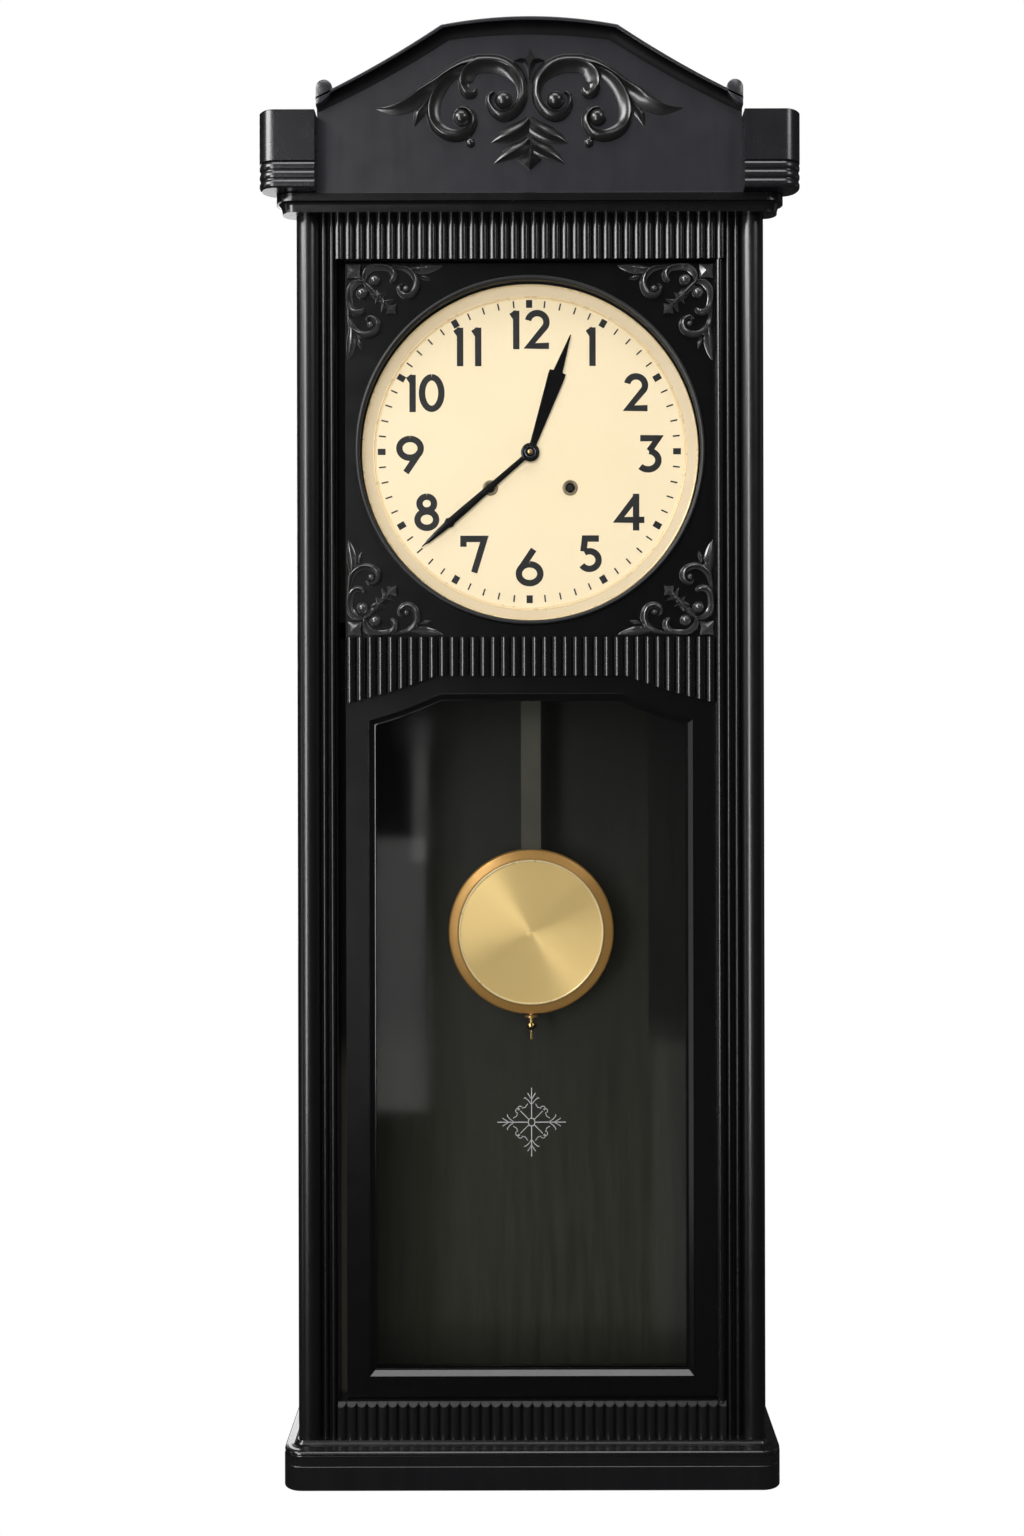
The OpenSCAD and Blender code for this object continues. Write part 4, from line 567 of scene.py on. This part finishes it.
# Crest cap: a plain fillet along the edge, a hollow that falls back to the panel, and an ear at each end.
# The fillet and the ears are in the crest's lighter lacquer, as painted light, and the hollow in
# near-black, as painted shade
capLow, capHigh = nodeBox("crest_moulding")
capSet = {
    "bowX": 73.0, "bowZ": 137.0, "endZ": 78.0,  # where the middle bow ends, and the height of the outer end
    "sag": 10.0,  # how far the outer line hangs below a straight one
    "bowIn": (0.55, 0.8), "endIn": 0.9,  # how far these points move in x and z for each millimetre inwards
    "fillet": 3.1, "width": 11.4,  # width of the fillet, and of the fillet with the hollow
    "hollowBack": 0.5, "hollowDeep": 7.4,  # foot of the hollow in front of the panel, and its depth
    "clearance": 0.1,  # between the cap's back and the panel's back
    "earX": 169.7, "earZ": 85.2, "earR": 6.8,  # centre and radius of the right ear
    "earFoot": [[163.6, 81.6], [165.6, 78.4], [168.6, 75.6], [172, 72.6], [capHigh[0], 70.6]],
    "earEdge": ((1, 1.1), (0.965, 0.3), (0.88, 0)),  # share of its outline, distance behind the front
}
capFront, capBack = capLow[1], capHigh[1] - capSet["clearance"]


def capLine(d):
    # Line d inside the cap's edge: z = h - (h - bz) t^2 along the bow, with h the height less d, and
    # bz + (ez - bz) t - sag t (1 - t) from the bow's end b to the outer end e
    bx, bz = capSet["bowX"] - capSet["bowIn"][0] * d, capSet["bowZ"] - capSet["bowIn"][1] * d
    ex, ez = capHigh[0], capSet["endZ"] - capSet["endIn"] * d
    h = capHigh[2] - corniceZ - d
    t = np.arange(0, 13) / 12
    bow = np.stack([bx * t, h - (h - bz) * t ** 2], 1)
    t = np.arange(1, 21) / 20
    outer = np.stack([bx + (ex - bx) * t, bz + (ez - bz) * t - capSet["sag"] * t * (1 - t)], 1)
    half = np.vstack([bow, outer])
    return np.vstack([half[:0:-1] * (-1, 1), half]) + (0, corniceZ)


def capSweep(profile):
    # Closed profile of points [d, y] carried along the cap's line
    return loft(np.array([np.insert(capLine(d), 1, y, 1) for d, y in profile]).swapaxes(0, 1))


w = capSet["fillet"]
# The fillet's front edges are eased
fillet = [[0, capBack], [0, capFront + 0.7], [0.25, capFront + 0.2], [0.7, capFront], [w - 0.6, capFront],
    [w - 0.15, capFront + 0.2], [w, capFront + 0.6], [w, capBack]]
foot = crestY - capSet["hollowBack"]
quarter = np.linspace(0, math.pi / 2, 9)
hollow = np.stack([w + (capSet["width"] - w) * (1 - np.cos(quarter)),
    foot - capSet["hollowDeep"] * (1 - np.sin(quarter))], 1).tolist()
halfTurn = np.radians(np.linspace(0, 180, 19))
top = np.stack([np.cos(halfTurn), np.sin(halfTurn)], 1) * capSet["earR"] + (capSet["earX"], capSet["earZ"])
rim = np.vstack([top, capSet["earFoot"]]) + (0, corniceZ)
centre = rim.mean(0)
edges = [(1, capBack)] + [(share, capFront + back) for share, back in capSet["earEdge"]]
ear = loft([np.insert(centre + share * (rim - centre), 1, y, 1) for share, y in edges])
piece("crestFillet", [capSweep(fillet), mirrored(ear), ear], crestLacquerPaintedLight, "case",
    ["crest_moulding"])
piece("crestHollow", [capSweep([[w, capBack]] + hollow + [[capSet["width"], capBack]])], paintedShadeBlack, "case")
print("stage: crest cap")

# Pilasters, drawn in plan for the right side: two slender reeds and a round column on the outer edge
pilasterSet = {"depth": 22.0, "columnR": 10.0, "reeds": 2, "gap": 0.6, "reedDepth": 2.2}
pilasterLow, pilasterHigh = nodeBox("pilasters")
inner, outer, r = nodeBox("upper_frieze")[1][0], pilasterHigh[0], pilasterSet["columnR"]
back = pilasterHigh[1]
board = back - pilasterSet["depth"] + r  # the plane from which the reeds and the column stand out
pitch = (outer - inner - 2 * r) / pilasterSet["reeds"]
plan = [[inner, back], [inner, board]]
a = np.linspace(0, math.pi, 21)
for k in range(pilasterSet["reeds"]):
    reed, middle = pitch / 2 - pilasterSet["gap"], inner + (k + 0.5) * pitch
    deep = pilasterSet["reedDepth"] * reed
    plan += np.stack([middle - reed * np.cos(a), board - deep * np.sin(a)], 1).tolist()
a = np.linspace(0, math.pi, 41)
plan += np.stack([outer - r - r * np.cos(a), board - r * np.sin(a)], 1).tolist() + [[outer, back]]
shaft = loft([np.insert(plan, 2, z, 1) for z in (pilasterLow[2], pilasterHigh[2])])
piece("pilasterShafts", [shaft, mirrored(shaft)], pilasterLacquer, "case", ["pilasters"])
print("stage: pilasters")

# Corner carving: one corner of the dial panel and its mirror image about the corner's diagonal.
# Stations as above, with x and z counted from the panel's corner
cornerBands = {
    "first": [[18.4, 18.4, 1, 1, 2], [15.5, 15.5, 1.3, 1.5, 3.4], [14.4, 11.1, 1.6, 3, 4.2],
        [16.1, 6.1, 2, 4.4, 4.6], [20.7, 2.3, 1.9, 4.4, 4.7], [26.1, 1.4, 1.4, 4, 4.7],
        [32.2, 1.9, 1.6, 3.6, 4.6], [37.6, 4, 3, 3, 4.6], [40.3, 8.1, 3.2, 2.6, 4.5],
        [39.7, 12.3, 3.2, 2, 4], [37.2, 14.7, 1.8, 1, 2.4]],
    "second": [[38.4, 1.9, 1.2, 0.8, 3.2], [46, 2.7, 1.6, 2.2, 4], [52.2, 4.1, 2, 3.2, 4.5],
        [56.8, 8.4, 2.6, 3, 4.7], [59.1, 14.6, 3.2, 2.4, 4.7], [58.3, 20.7, 3.4, 2.6, 4.7],
        [54.9, 24.9, 3.6, 2.4, 4.6], [49.9, 25.9, 3.4, 2, 4.5], [46, 23.4, 2.6, 1.6, 4.3],
        [44.9, 19.6, 2, 1.4, 3.9], [47.6, 17.3, 1.3, 1, 2.8]],
    "leaf": [[48.3, 3.7, 0.8, 0.8, 3], [56.8, 4.7, 3, 2, 3.8], [64.5, 4.5, 4.2, 4, 4.1],
        [72.1, 3.1, 3, 3.6, 3.2], [77.5, 2, 1.4, 2, 1.8], [81.4, 0.9, 0.2, 0.2, 0.3]],
    "bud": [[62.2, 10.7, 0.8, 0.8, 2.4], [66.8, 11.7, 2, 2, 3.2], [71.5, 12.9, 0.3, 0.3, 0.8]],
    "frond": [[21, 25.5, 0.6, 0.8, 3], [27, 27.2, 2, 2.6, 4.2], [33.5, 24.6, 0.4, 0.4, 1.2]],
    "secondFrond": [[28.5, 31, 0.6, 0.8, 3], [34, 32, 2, 2.4, 4], [40.5, 29.8, 0.4, 0.4, 1.2]],
}
cornerSet = {
    "relief": 1.3, "sunk": 0.05, "steps": 6,
    "inset": 1.0,  # from the panel's edges to the carving's zero
    "balls": ((24.2, 13.4, 4.9), (50.3, 20.5, 2.7)), "ballRise": 1.15,
    "bosses": ((0.6, 12.4, 5.6), (34, 42.5, 5.4)),  # where a square boss starts and ends, and its height
    "rib": [[17, 17, 2.4, 2.4, 4.2], [26, 26, 2.2, 2.2, 4.8], [36, 36, 1.6, 1.6, 4.4]],  # on the diagonal
}


def pyramid(start, end, height):
    # Square boss on the diagonal: a low wall, and four flanks that close to 0.12 of the square at the top.
    # The middles of its sides are drawn in a little, so a raised cross runs over it
    middle, drawnIn = (start + end) / 2, 0.8
    low, high = start + drawnIn, end - drawnIn
    square = [[start, start], [middle, low], [end, start], [high, middle], [end, end], [middle, high],
        [start, end], [low, middle]]
    base = np.insert(np.array(square), 1, cornerSet["sunk"], 1)
    top = middle + 0.12 * (base - middle)
    top[:, 1] = -height
    return loft([base, base + (0, -0.45 * height, 0), top])


corner = []
for stations in cornerBands.values():
    raised = [[*place, cornerSet["relief"] * h] for *place, h in stations]
    corner.append(carvedBand(raised, cornerSet["steps"], cornerSet["sunk"]))
for x, z, r in cornerSet["balls"]:
    corner.append(dome(x, z, r, cornerSet["sunk"], cornerSet["ballRise"] * r, 12, 32))
corner += [swapped(s) for s in corner]
corner += [pyramid(*boss) for boss in cornerSet["bosses"]]
corner.append(carvedBand(cornerSet["rib"], cornerSet["steps"], cornerSet["sunk"]))

panelLow, panelHigh = nodeBox("dial_surround")
reachX = panelHigh[0] - cornerSet["inset"]
reachZ = (panelHigh[2] - panelLow[2]) / 2 - cornerSet["inset"]
corners = []
for sx in (-1, 1):
    for sz in (-1, 1):
        at = (sx * reachX, panelLow[1], dialZ + sz * reachZ)
        corners += [(points * (-sx, 1, -sz) + at, faces) for points, faces in corner]
# The corner carvings are in the lighter lacquer, as painted light
piece("cornerCarvings", corners, cornerLacquerPaintedLight, "door", ["corner_carvings"])
print("stage: corner carvings")

# Minute hand
handLow, handHigh = nodeBox("minute_hand")
handFront, handBack = handLow[1], handHigh[1]
handSet = {
    "turn": 229.0,  # degrees clockwise from twelve
    "shape": [[4, 2.1], [43, 2.6], [75, 3.3], [88, 3.3], [91, 4.6], [94.5, 3], [104, 2.5], [116, 1.5],
        [118, 0.7], [122, 0.4]],  # [distance from the centre, half width]
    "hub": 7.9, "bore": 2.4,
}
# What lies on the hand's hub: profile [radius, height above the hand], columns, material, slot
hubPieces = {
    "hubDisc": ([[6.4, 0], [6.2, 0.7], [5.9, 1.0], [0.4, 1.05]], 64, handBlack, "hand_black"),
    "hubRing": ([[4.9, 0.95], [4.8, 1.25], [4.5, 1.35], [4.2, 1.25], [4.1, 0.95]], 64, bluedSteel, "steel"),
    "hubCap": ([[2.4, 1.0], [2.4, 1.7], [2.1, 2.1], [1.5, 2.4], [0.8, 2.5], [0.2, 2.5]], 48, agedBrass,
        "steel"),
}


def blade(shape, turn, y, thick):
    # Blade carried along a hand at an angle: edges at the back, and two facets that rise to a narrow ridge
    section = np.array([[-1, 0], [-1, 0.35], [-0.12, 1], [0.12, 1], [1, 0.35], [1, 0]])
    reach, half = np.array(shape).T[:, :, None]
    across = half * section[:, 0]
    sine, cosine = math.sin(math.radians(turn)), math.cos(math.radians(turn))
    rings = [reach * sine + across * cosine, y - thick * section[:, 1],
        dialZ + reach * cosine - across * sine]
    return loft(np.stack(np.broadcast_arrays(*rings), 2))


thick, hub, bore = handBack - handFront, handSet["hub"], handSet["bore"]
hubProfile = [[bore, 0], [hub, 0], [hub, 0.55], [hub - 0.5, 0.85], [hub - 2.2, 1], [bore + 0.6, 1],
    [bore, 0.9]]
handParts = [blade(handSet["shape"], handSet["turn"], handBack, thick),
    lathe([[r, handBack - share * thick] for r, share in hubProfile], 64, (0, dialZ), True)]
piece("minuteHand", handParts, handBlack, "minute_hand", ["minute_hand"], 25)
for name, (profile, columns, material, slot) in hubPieces.items():
    stack = lathe([[r, handFront - above] for r, above in profile], columns, (0, dialZ))
    piece(name, [stack], material, "minute_hand")
print("stage: hands")

# Dial printing: strokes of even width laid on the dial
printSet = {
    "stroke": 5.5,  # width of the digits' strokes
    "lift": 0.06, "layer": 0.006,  # print stands off the dial, and a digit's next stroke off its last
    "block": (122.6, 129.3, 5.3), "tick": (123.0, 129.0, 1.3),  # hour and minute marks: from, to, width
    "shift": -0.7, "ringRise": 1.5,  # print beside the dial's middle line, minute ring above its centre
}


def arc(cx, cz, rx, rz, start, end, steps):
    # Part of an ellipse from one angle to another, degrees anticlockwise from three o'clock
    a = np.radians(np.linspace(start, end, steps))
    return np.stack([cx + rx * np.cos(a), cz + rz * np.sin(a)], 1).tolist()


def stroke(path, width, y, thick=0.05):
    # Ribbon of one width along a path: mitred at its corners, square at its ends
    p = np.asarray(path, float)
    d = np.diff(p, axis=0)
    d /= np.linalg.norm(d, axis=1)[:, None]
    before, after = np.vstack([d[:1], d]), np.vstack([d, d[-1:]])
    mitre = (before + after)[:, ::-1] * (-1, 1)
    mitre /= np.linalg.norm(mitre, axis=1)[:, None]
    square = before[:, ::-1] * (-1, 1)
    reach = width / 2 / np.clip((mitre * square).sum(1), 0.5, 1)
    left, right = p + mitre * reach[:, None], p - mitre * reach[:, None]
    corners = ((left, y + thick), (right, y + thick), (right, y), (left, y))
    return loft(np.stack([np.insert(line, 1, depth, 1) for line, depth in corners], 1))


# Digits in a box one high, strokes along their middle lines: the stroke is about 0.17 of the height
digits = {
    "0": [arc(0, 0.5, 0.255, 0.415, 90, 450, 60)],
    "1": [[[0.0, 0], [0.0, 0.98]], [[0.02, 0.93], [-0.13, 0.83]]],
    "2": [arc(0.0, 0.685, 0.235, 0.232, 168, -28, 26) + [[-0.2, 0.085], [0.3, 0.085]]],
    "3": [[[-0.24, 0.915], [0.24, 0.915], [0.0, 0.575]], arc(-0.03, 0.33, 0.275, 0.245, 84, -138, 34)],
    "4": [[[0.16, 0], [0.16, 0.98]], [[0.19, 0.93], [-0.31, 0.285], [0.38, 0.285]]],
    "5": [[[0.25, 0.915], [-0.13, 0.915], [-0.17, 0.565]], arc(-0.01, 0.33, 0.25, 0.24, 122, -145, 36)],
    "6": [arc(0, 0.335, 0.285, 0.25, 90, 450, 56), [[0.11, 0.98], [-0.24, 0.46]]],
    "7": [[[-0.29, 0.7], [-0.29, 0.915], [0.28, 0.915], [0.0, 0.0]]],
    "8": [arc(0, 0.73, 0.195, 0.185, 90, 450, 48), arc(0, 0.3, 0.25, 0.22, 90, 450, 56)],
    "9": [arc(0, 0.665, 0.285, 0.25, 90, 450, 56), [[-0.11, 0.02], [0.24, 0.54]]],
}
# Where each digit stands on the dial: digit, x and z of its middle from the dial's centre, height
digitPlaces = [
    ("1", -11, 105.6, 33.6), ("2", 6.9, 105.6, 33.6), ("1", 54, 91.2, 33.6), ("2", 91.1, 51.9, 32.6),
    ("3", 102.2, -0.6, 32), ("4", 85.8, -50, 32), ("5", 51.3, -85.8, 31.4), ("6", 0, -97.4, 32.2),
    ("7", -47.3, -85.9, 31.4), ("8", -87.6, -50, 31.8), ("9", -101.8, -0.8, 32),
    ("1", -99.5, 51.6, 32.4), ("0", -83.2, 51.6, 32.4), ("1", -58.9, 91.2, 33.6), ("1", -43.5, 91.2, 33.6)]
printY = dialFace - printSet["lift"]
ringCentre = (printSet["shift"], dialZ + printSet["ringRise"])
printing = []
for digit, x, z, tall in digitPlaces:
    for k, line in enumerate(digits[digit]):
        path = np.array(line) * tall + (x + printSet["shift"], dialZ + z - tall / 2)
        printing.append(stroke(path, printSet["stroke"], printY - printSet["layer"] * k))
for minute in range(60):
    a = math.radians(6 * minute)
    start, end, width = printSet["tick"] if minute % 5 else printSet["block"]
    path = np.outer((start, end), (math.sin(a), math.cos(a))) + ringCentre
    printing.append(stroke(path, width, printY))
piece("dialPrinting", printing, ink, "case", (), 30)

# Rim of the dial and eyelets of its winding holes, measured in radius and height above the dial's face
rimSet = {
    "slope": [[142.9, 4.1], [142.4, 4.5], [134.0, 1.1], [133.2, 0.9], [132.4, 0.9], [132.4, 0.02],
        [142.9, 3.9]],
    "beads": ((142.3, 4.5, 0.75), (133.3, 0.9, 0.6), (131.6, 0.1, 0.35)),  # radius, height, half thickness
    "columns": 192,
}
eyeletSet = {"section": (5.7, 0.6, 0.95, 0.9), "columns": 48}  # radius, height, half width, half thickness


def roundRing(r, above, halfWidth, halfHeight, points, columns, centre):
    # Ring of oval section: [r + w cos(v), y + h sin(v)] goes round the centre
    v = circle(points)
    section = np.stack([r + halfWidth * np.cos(v), dialFace - above + halfHeight * np.sin(v)], 1)
    return lathe(section, columns, centre, True)


slope = [[r, dialFace - above] for r, above in rimSet["slope"]]
piece("dialRim", [lathe(slope, rimSet["columns"], (0, dialZ), True)], rimMetal, "case")
beads = [roundRing(r, above, half, half, 10, rimSet["columns"], (0, dialZ))
    for r, above, half in rimSet["beads"]]
piece("dialRimBeads", beads, edgeMetal, "case")
eyelets = [roundRing(*eyeletSet["section"], 12, eyeletSet["columns"], jointAt[joint][[0, 2]])
    for joint in ("strike_winding_turn", "time_winding_turn")]
piece("eyeletRings", eyelets, eyeletBronze, "case")
print("stage: dial printing")

# Etched star: fine lines lying on the front face of the lower glass
starSet = {
    "centre": (0.0, -722.0), "lift": 0.05, "thick": 0.04,
    "arm": [  # one of four arms along x: path, width
        ([[2.6, 0], [29.0, 0]], 0.75), ([[2.2, 2.2], [9.5, 9.5]], 0.6),
        (arc(9.6, 11.6, 2.0, 1.9, -60, 150, 12), 0.6), (arc(11.6, 9.6, 1.9, 2.0, 150, -50, 12), 0.6),
        ([[11.8, 8.2], [12.6, 5.2], [15.6, 3.3]], 0.55), ([[8.2, 11.8], [5.2, 12.6], [3.3, 15.6]], 0.55)],
    "barbs": [([[15.5, 0.6], [18.4, 2.7], [20.6, 5.4], [20.2, 6.6]], 0.6),
        ([[20, 0.5], [23.2, 2.4], [24.6, 3.4]], 0.6)],  # on both sides of an arm
    "eye": (2.8, 3.4, 0.7),  # half width, half height and width of the line
}
barbs = [(np.array(path) * (1, side), width) for side in (-1, 1) for path, width in starSet["barbs"]]
starLines = []
for k in range(4):
    a = math.pi / 2 * k
    turn = np.array([[math.cos(a), math.sin(a)], [-math.sin(a), math.cos(a)]])
    for path, width in starSet["arm"] + barbs:
        spots = np.array(path) @ turn + starSet["centre"]
        starLines.append(stroke(spots, width, glassFront - starSet["lift"], starSet["thick"]))
halfX, halfZ, width = starSet["eye"]
eye = np.array(arc(0, 0, halfX, halfZ, 0, 360, 40)) + starSet["centre"]
starLines.append(stroke(eye, width, glassFront - 1.1 * starSet["lift"], starSet["thick"]))
piece("etchedStar", starLines, frost, "door", (), 30)
print("stage: etched star")

# Glazing bead: a bevel from the door's face to the glass with a fine lip, and a square bead behind it
glassLow, glassHigh = nodeBox("lower_glass")
beadSet = {
    "flat": 77.0, "drop": 22.0, "sag": 6.0,  # half width of the flat top, a shoulder's fall and hollow
    "front": [[0.02, 3.0], [0.02, 4.2], [0.3, 4.6], [0.9, 4.65], [4.8, 0.95], [5.3, 0.9], [5.6, 1.35],
        [6.0, 1.45], [6.4, 1.2], [6.4, 0.05], [0.02, 0.05]],  # [inwards, in front of the glass]
    "behind": [[0.02, 0.05], [6.5, 0.05], [6.5, 3.2], [5.7, 4.0], [0.02, 4.0]],  # [inwards, behind it]
}
halfWidth, flat = glassHigh[0], beadSet["flat"]
t = np.arange(9) / 8
fallen = beadSet["drop"] * t + beadSet["sag"] * t * (1 - t)
shoulder = np.stack([flat + (halfWidth - flat) * t, glassHigh[2] - fallen], 1)
foot = [[-halfWidth, glassLow[2]], [halfWidth, glassLow[2]]]
opening = np.vstack([foot, shoulder[::-1], shoulder * (-1, 1)])


def inset(outline, d):
    # Outline moved inwards by d with mitred corners: p + d (n1 + n2) / (1 + n1.n2)
    before = outline - np.roll(outline, 1, 0)
    before /= np.linalg.norm(before, axis=1)[:, None]
    n = before[:, ::-1] * (-1, 1)
    m = np.roll(n, -1, 0)
    return outline + d * (n + m) / (1 + (n * m).sum(1))[:, None]


def frameBand(outline, profile):
    # Closed moulding round an outline: profile points are [inwards, y]
    return band([np.insert(inset(outline, d), 1, y, 1) for d, y in profile])


beads = [frameBand(opening, [[d, glassFront - out] for d, out in beadSet["front"]]),
    frameBand(opening, [[d, glassBack + out] for d, out in beadSet["behind"]])]
piece("glazingBead", beads, beadLacquer, "door", ["glazing_beads"], 28)

# Bright edge between the face and the rim of the bob: half a ring of round section behind the face's front
edgeSet = {"r": 63.8, "behindFace": 0.7, "half": 0.9, "columns": 160}
a = np.linspace(0, math.pi, 9)
edgeY = nodeBox("bob_face")[0][1] + edgeSet["behindFace"]
edge = np.stack([edgeSet["r"] + edgeSet["half"] * np.cos(a), edgeY - edgeSet["half"] * np.sin(a)], 1)
piece("bobEdge", [lathe(edge, edgeSet["columns"], (0, bobZ), True)], edgeMetal, "pendulum")
print("stage: glazing bead and bob edge")

# Studio lights: place, target, size in metres, watts and what they light. The gloss lights show only in
# the lacquer, glass and metal, and the matt one, straight from the front, only in what has no mirror
lights = {
    "keySoftbox": ((-1.6, -1.4, 1.05), (0, -0.12, -0.35), (1.1, 1.0), 50, "gloss"),
    "topSoftbox": ((-0.1, -1.15, 1.85), (0, -0.12, -0.2), (1.6, 0.8), 20, "both"),
    "rightSoftbox": ((1.25, -1.5, 1.0), (0, -0.12, -0.2), (0.6, 0.7), 9, "gloss"),
    "reedStrip": ((-1.0, -1.85, -0.25), (0, -0.12, -0.35), (0.42, 1.9), 32, "gloss"),
    "sideStrip": ((-1.75, -0.55, -0.45), (0, -0.12, -0.45), (0.2, 1.9), 2.2, "gloss"),
    "frontFill": ((-0.35, -2.7, -0.12), (0, -0.12, -0.35), (1.7, 1.7), 74, "matt"),
    "rightPanel": ((2.5, 0.3, -0.3), (0, 0, -0.4), (1.2, 2.0), 1.6, "gloss"),  # for the right side
    "rearPanel": ((-0.5, 2.6, 0.1), (0, 0, -0.4), (1.6, 2.2), 45, "both"),  # for the back
}
# Dim cards where the lower glass mirrors them: x, z, width, height, watts
cards = {
    "glossCard1": (-0.27, -0.88, 0.11, 0.56, 0.13),
    "glossCard2": (-0.228, -0.5, 0.03, 0.3, 0.02),
    "glossCard3": (0.285, -1.32, 0.07, 0.6, 0.02),
}
cardY = -2.02


def areaLight(name, at, target, size, watts, lit):
    data = bpy.data.lights.new(name, "AREA")
    data.shape = "RECTANGLE"
    data.size, data.size_y = size
    data.energy = watts
    lamp = bpy.data.objects.new(name, data)
    lamp.location = at
    lamp.rotation_euler = (Vector(target) - Vector(at)).to_track_quat("-Z", "Y").to_euler()
    lamp.visible_diffuse = lit != "gloss"
    lamp.visible_glossy = lit != "matt"
    bpy.context.scene.collection.objects.link(lamp)
    return lamp


for name, values in lights.items():
    areaLight(name, *values)
for name, (x, z, wide, high, watts) in cards.items():
    card = areaLight(name, (x, cardY, z), (x, 0, z), (wide, high), watts, "gloss")
    card.visible_camera = False

# World: white behind the clock for the camera, dim for everything that it lights
world = bpy.data.worlds.new("studio")
world.use_nodes = True
bpy.context.scene.world = world
tree = world.node_tree
tree.nodes.clear()
seen = tree.nodes.new("ShaderNodeLightPath")
mix = tree.nodes.new("ShaderNodeMixShader")
out = tree.nodes.new("ShaderNodeOutputWorld")
tree.links.new(seen.outputs["Is Camera Ray"], mix.inputs[0])
for socket, colour in ((1, (0.032, 0.032, 0.034, 1)), (2, (1, 1, 1, 1))):
    backdrop = tree.nodes.new("ShaderNodeBackground")
    backdrop.inputs[0].default_value = colour
    tree.links.new(backdrop.outputs[0], mix.inputs[socket])
tree.links.new(mix.outputs[0], out.inputs[0])

# Pale floor just under the plinth: it reads as white in the picture, and is mid grey for the light
floorSet = {"half": 6, "below": 0.0003, "tones": ((0.19, 0.19, 0.19), (0.21, 0.21, 0.21))}
half, floorZ = floorSet["half"], nodeBox("plinth_block")[0][2] * mm - floorSet["below"]
floorMesh = bpy.data.meshes.new("floor")
floorCorners = [(-half, -half, floorZ), (half, -half, floorZ), (half, half, floorZ), (-half, half, floorZ)]
floorMesh.from_pydata(floorCorners, [], [(0, 1, 2, 3)])
floor = bpy.data.objects.new("floor", floorMesh)
bpy.context.scene.collection.objects.link(floor)
f = Nodes("paleFloor")
matt = f.add("BsdfDiffuse")
f.link(f.colours(f.noise(3), list(zip((0.3, 0.7), floorSet["tones"]))), matt.inputs[0])
glow = f.add("Emission")
glow.inputs["Strength"].default_value = 1.0
choice = f.add("MixShader")
f.link(f.add("LightPath").outputs["Is Camera Ray"], choice.inputs[0])
f.link(matt.outputs[0], choice.inputs[1])
f.link(glow.outputs[0], choice.inputs[2])
f.link(choice.outputs[0], f.output.inputs[0])
floorMesh.materials.append(f.material)
floor.visible_glossy = False
print("stage: studio")
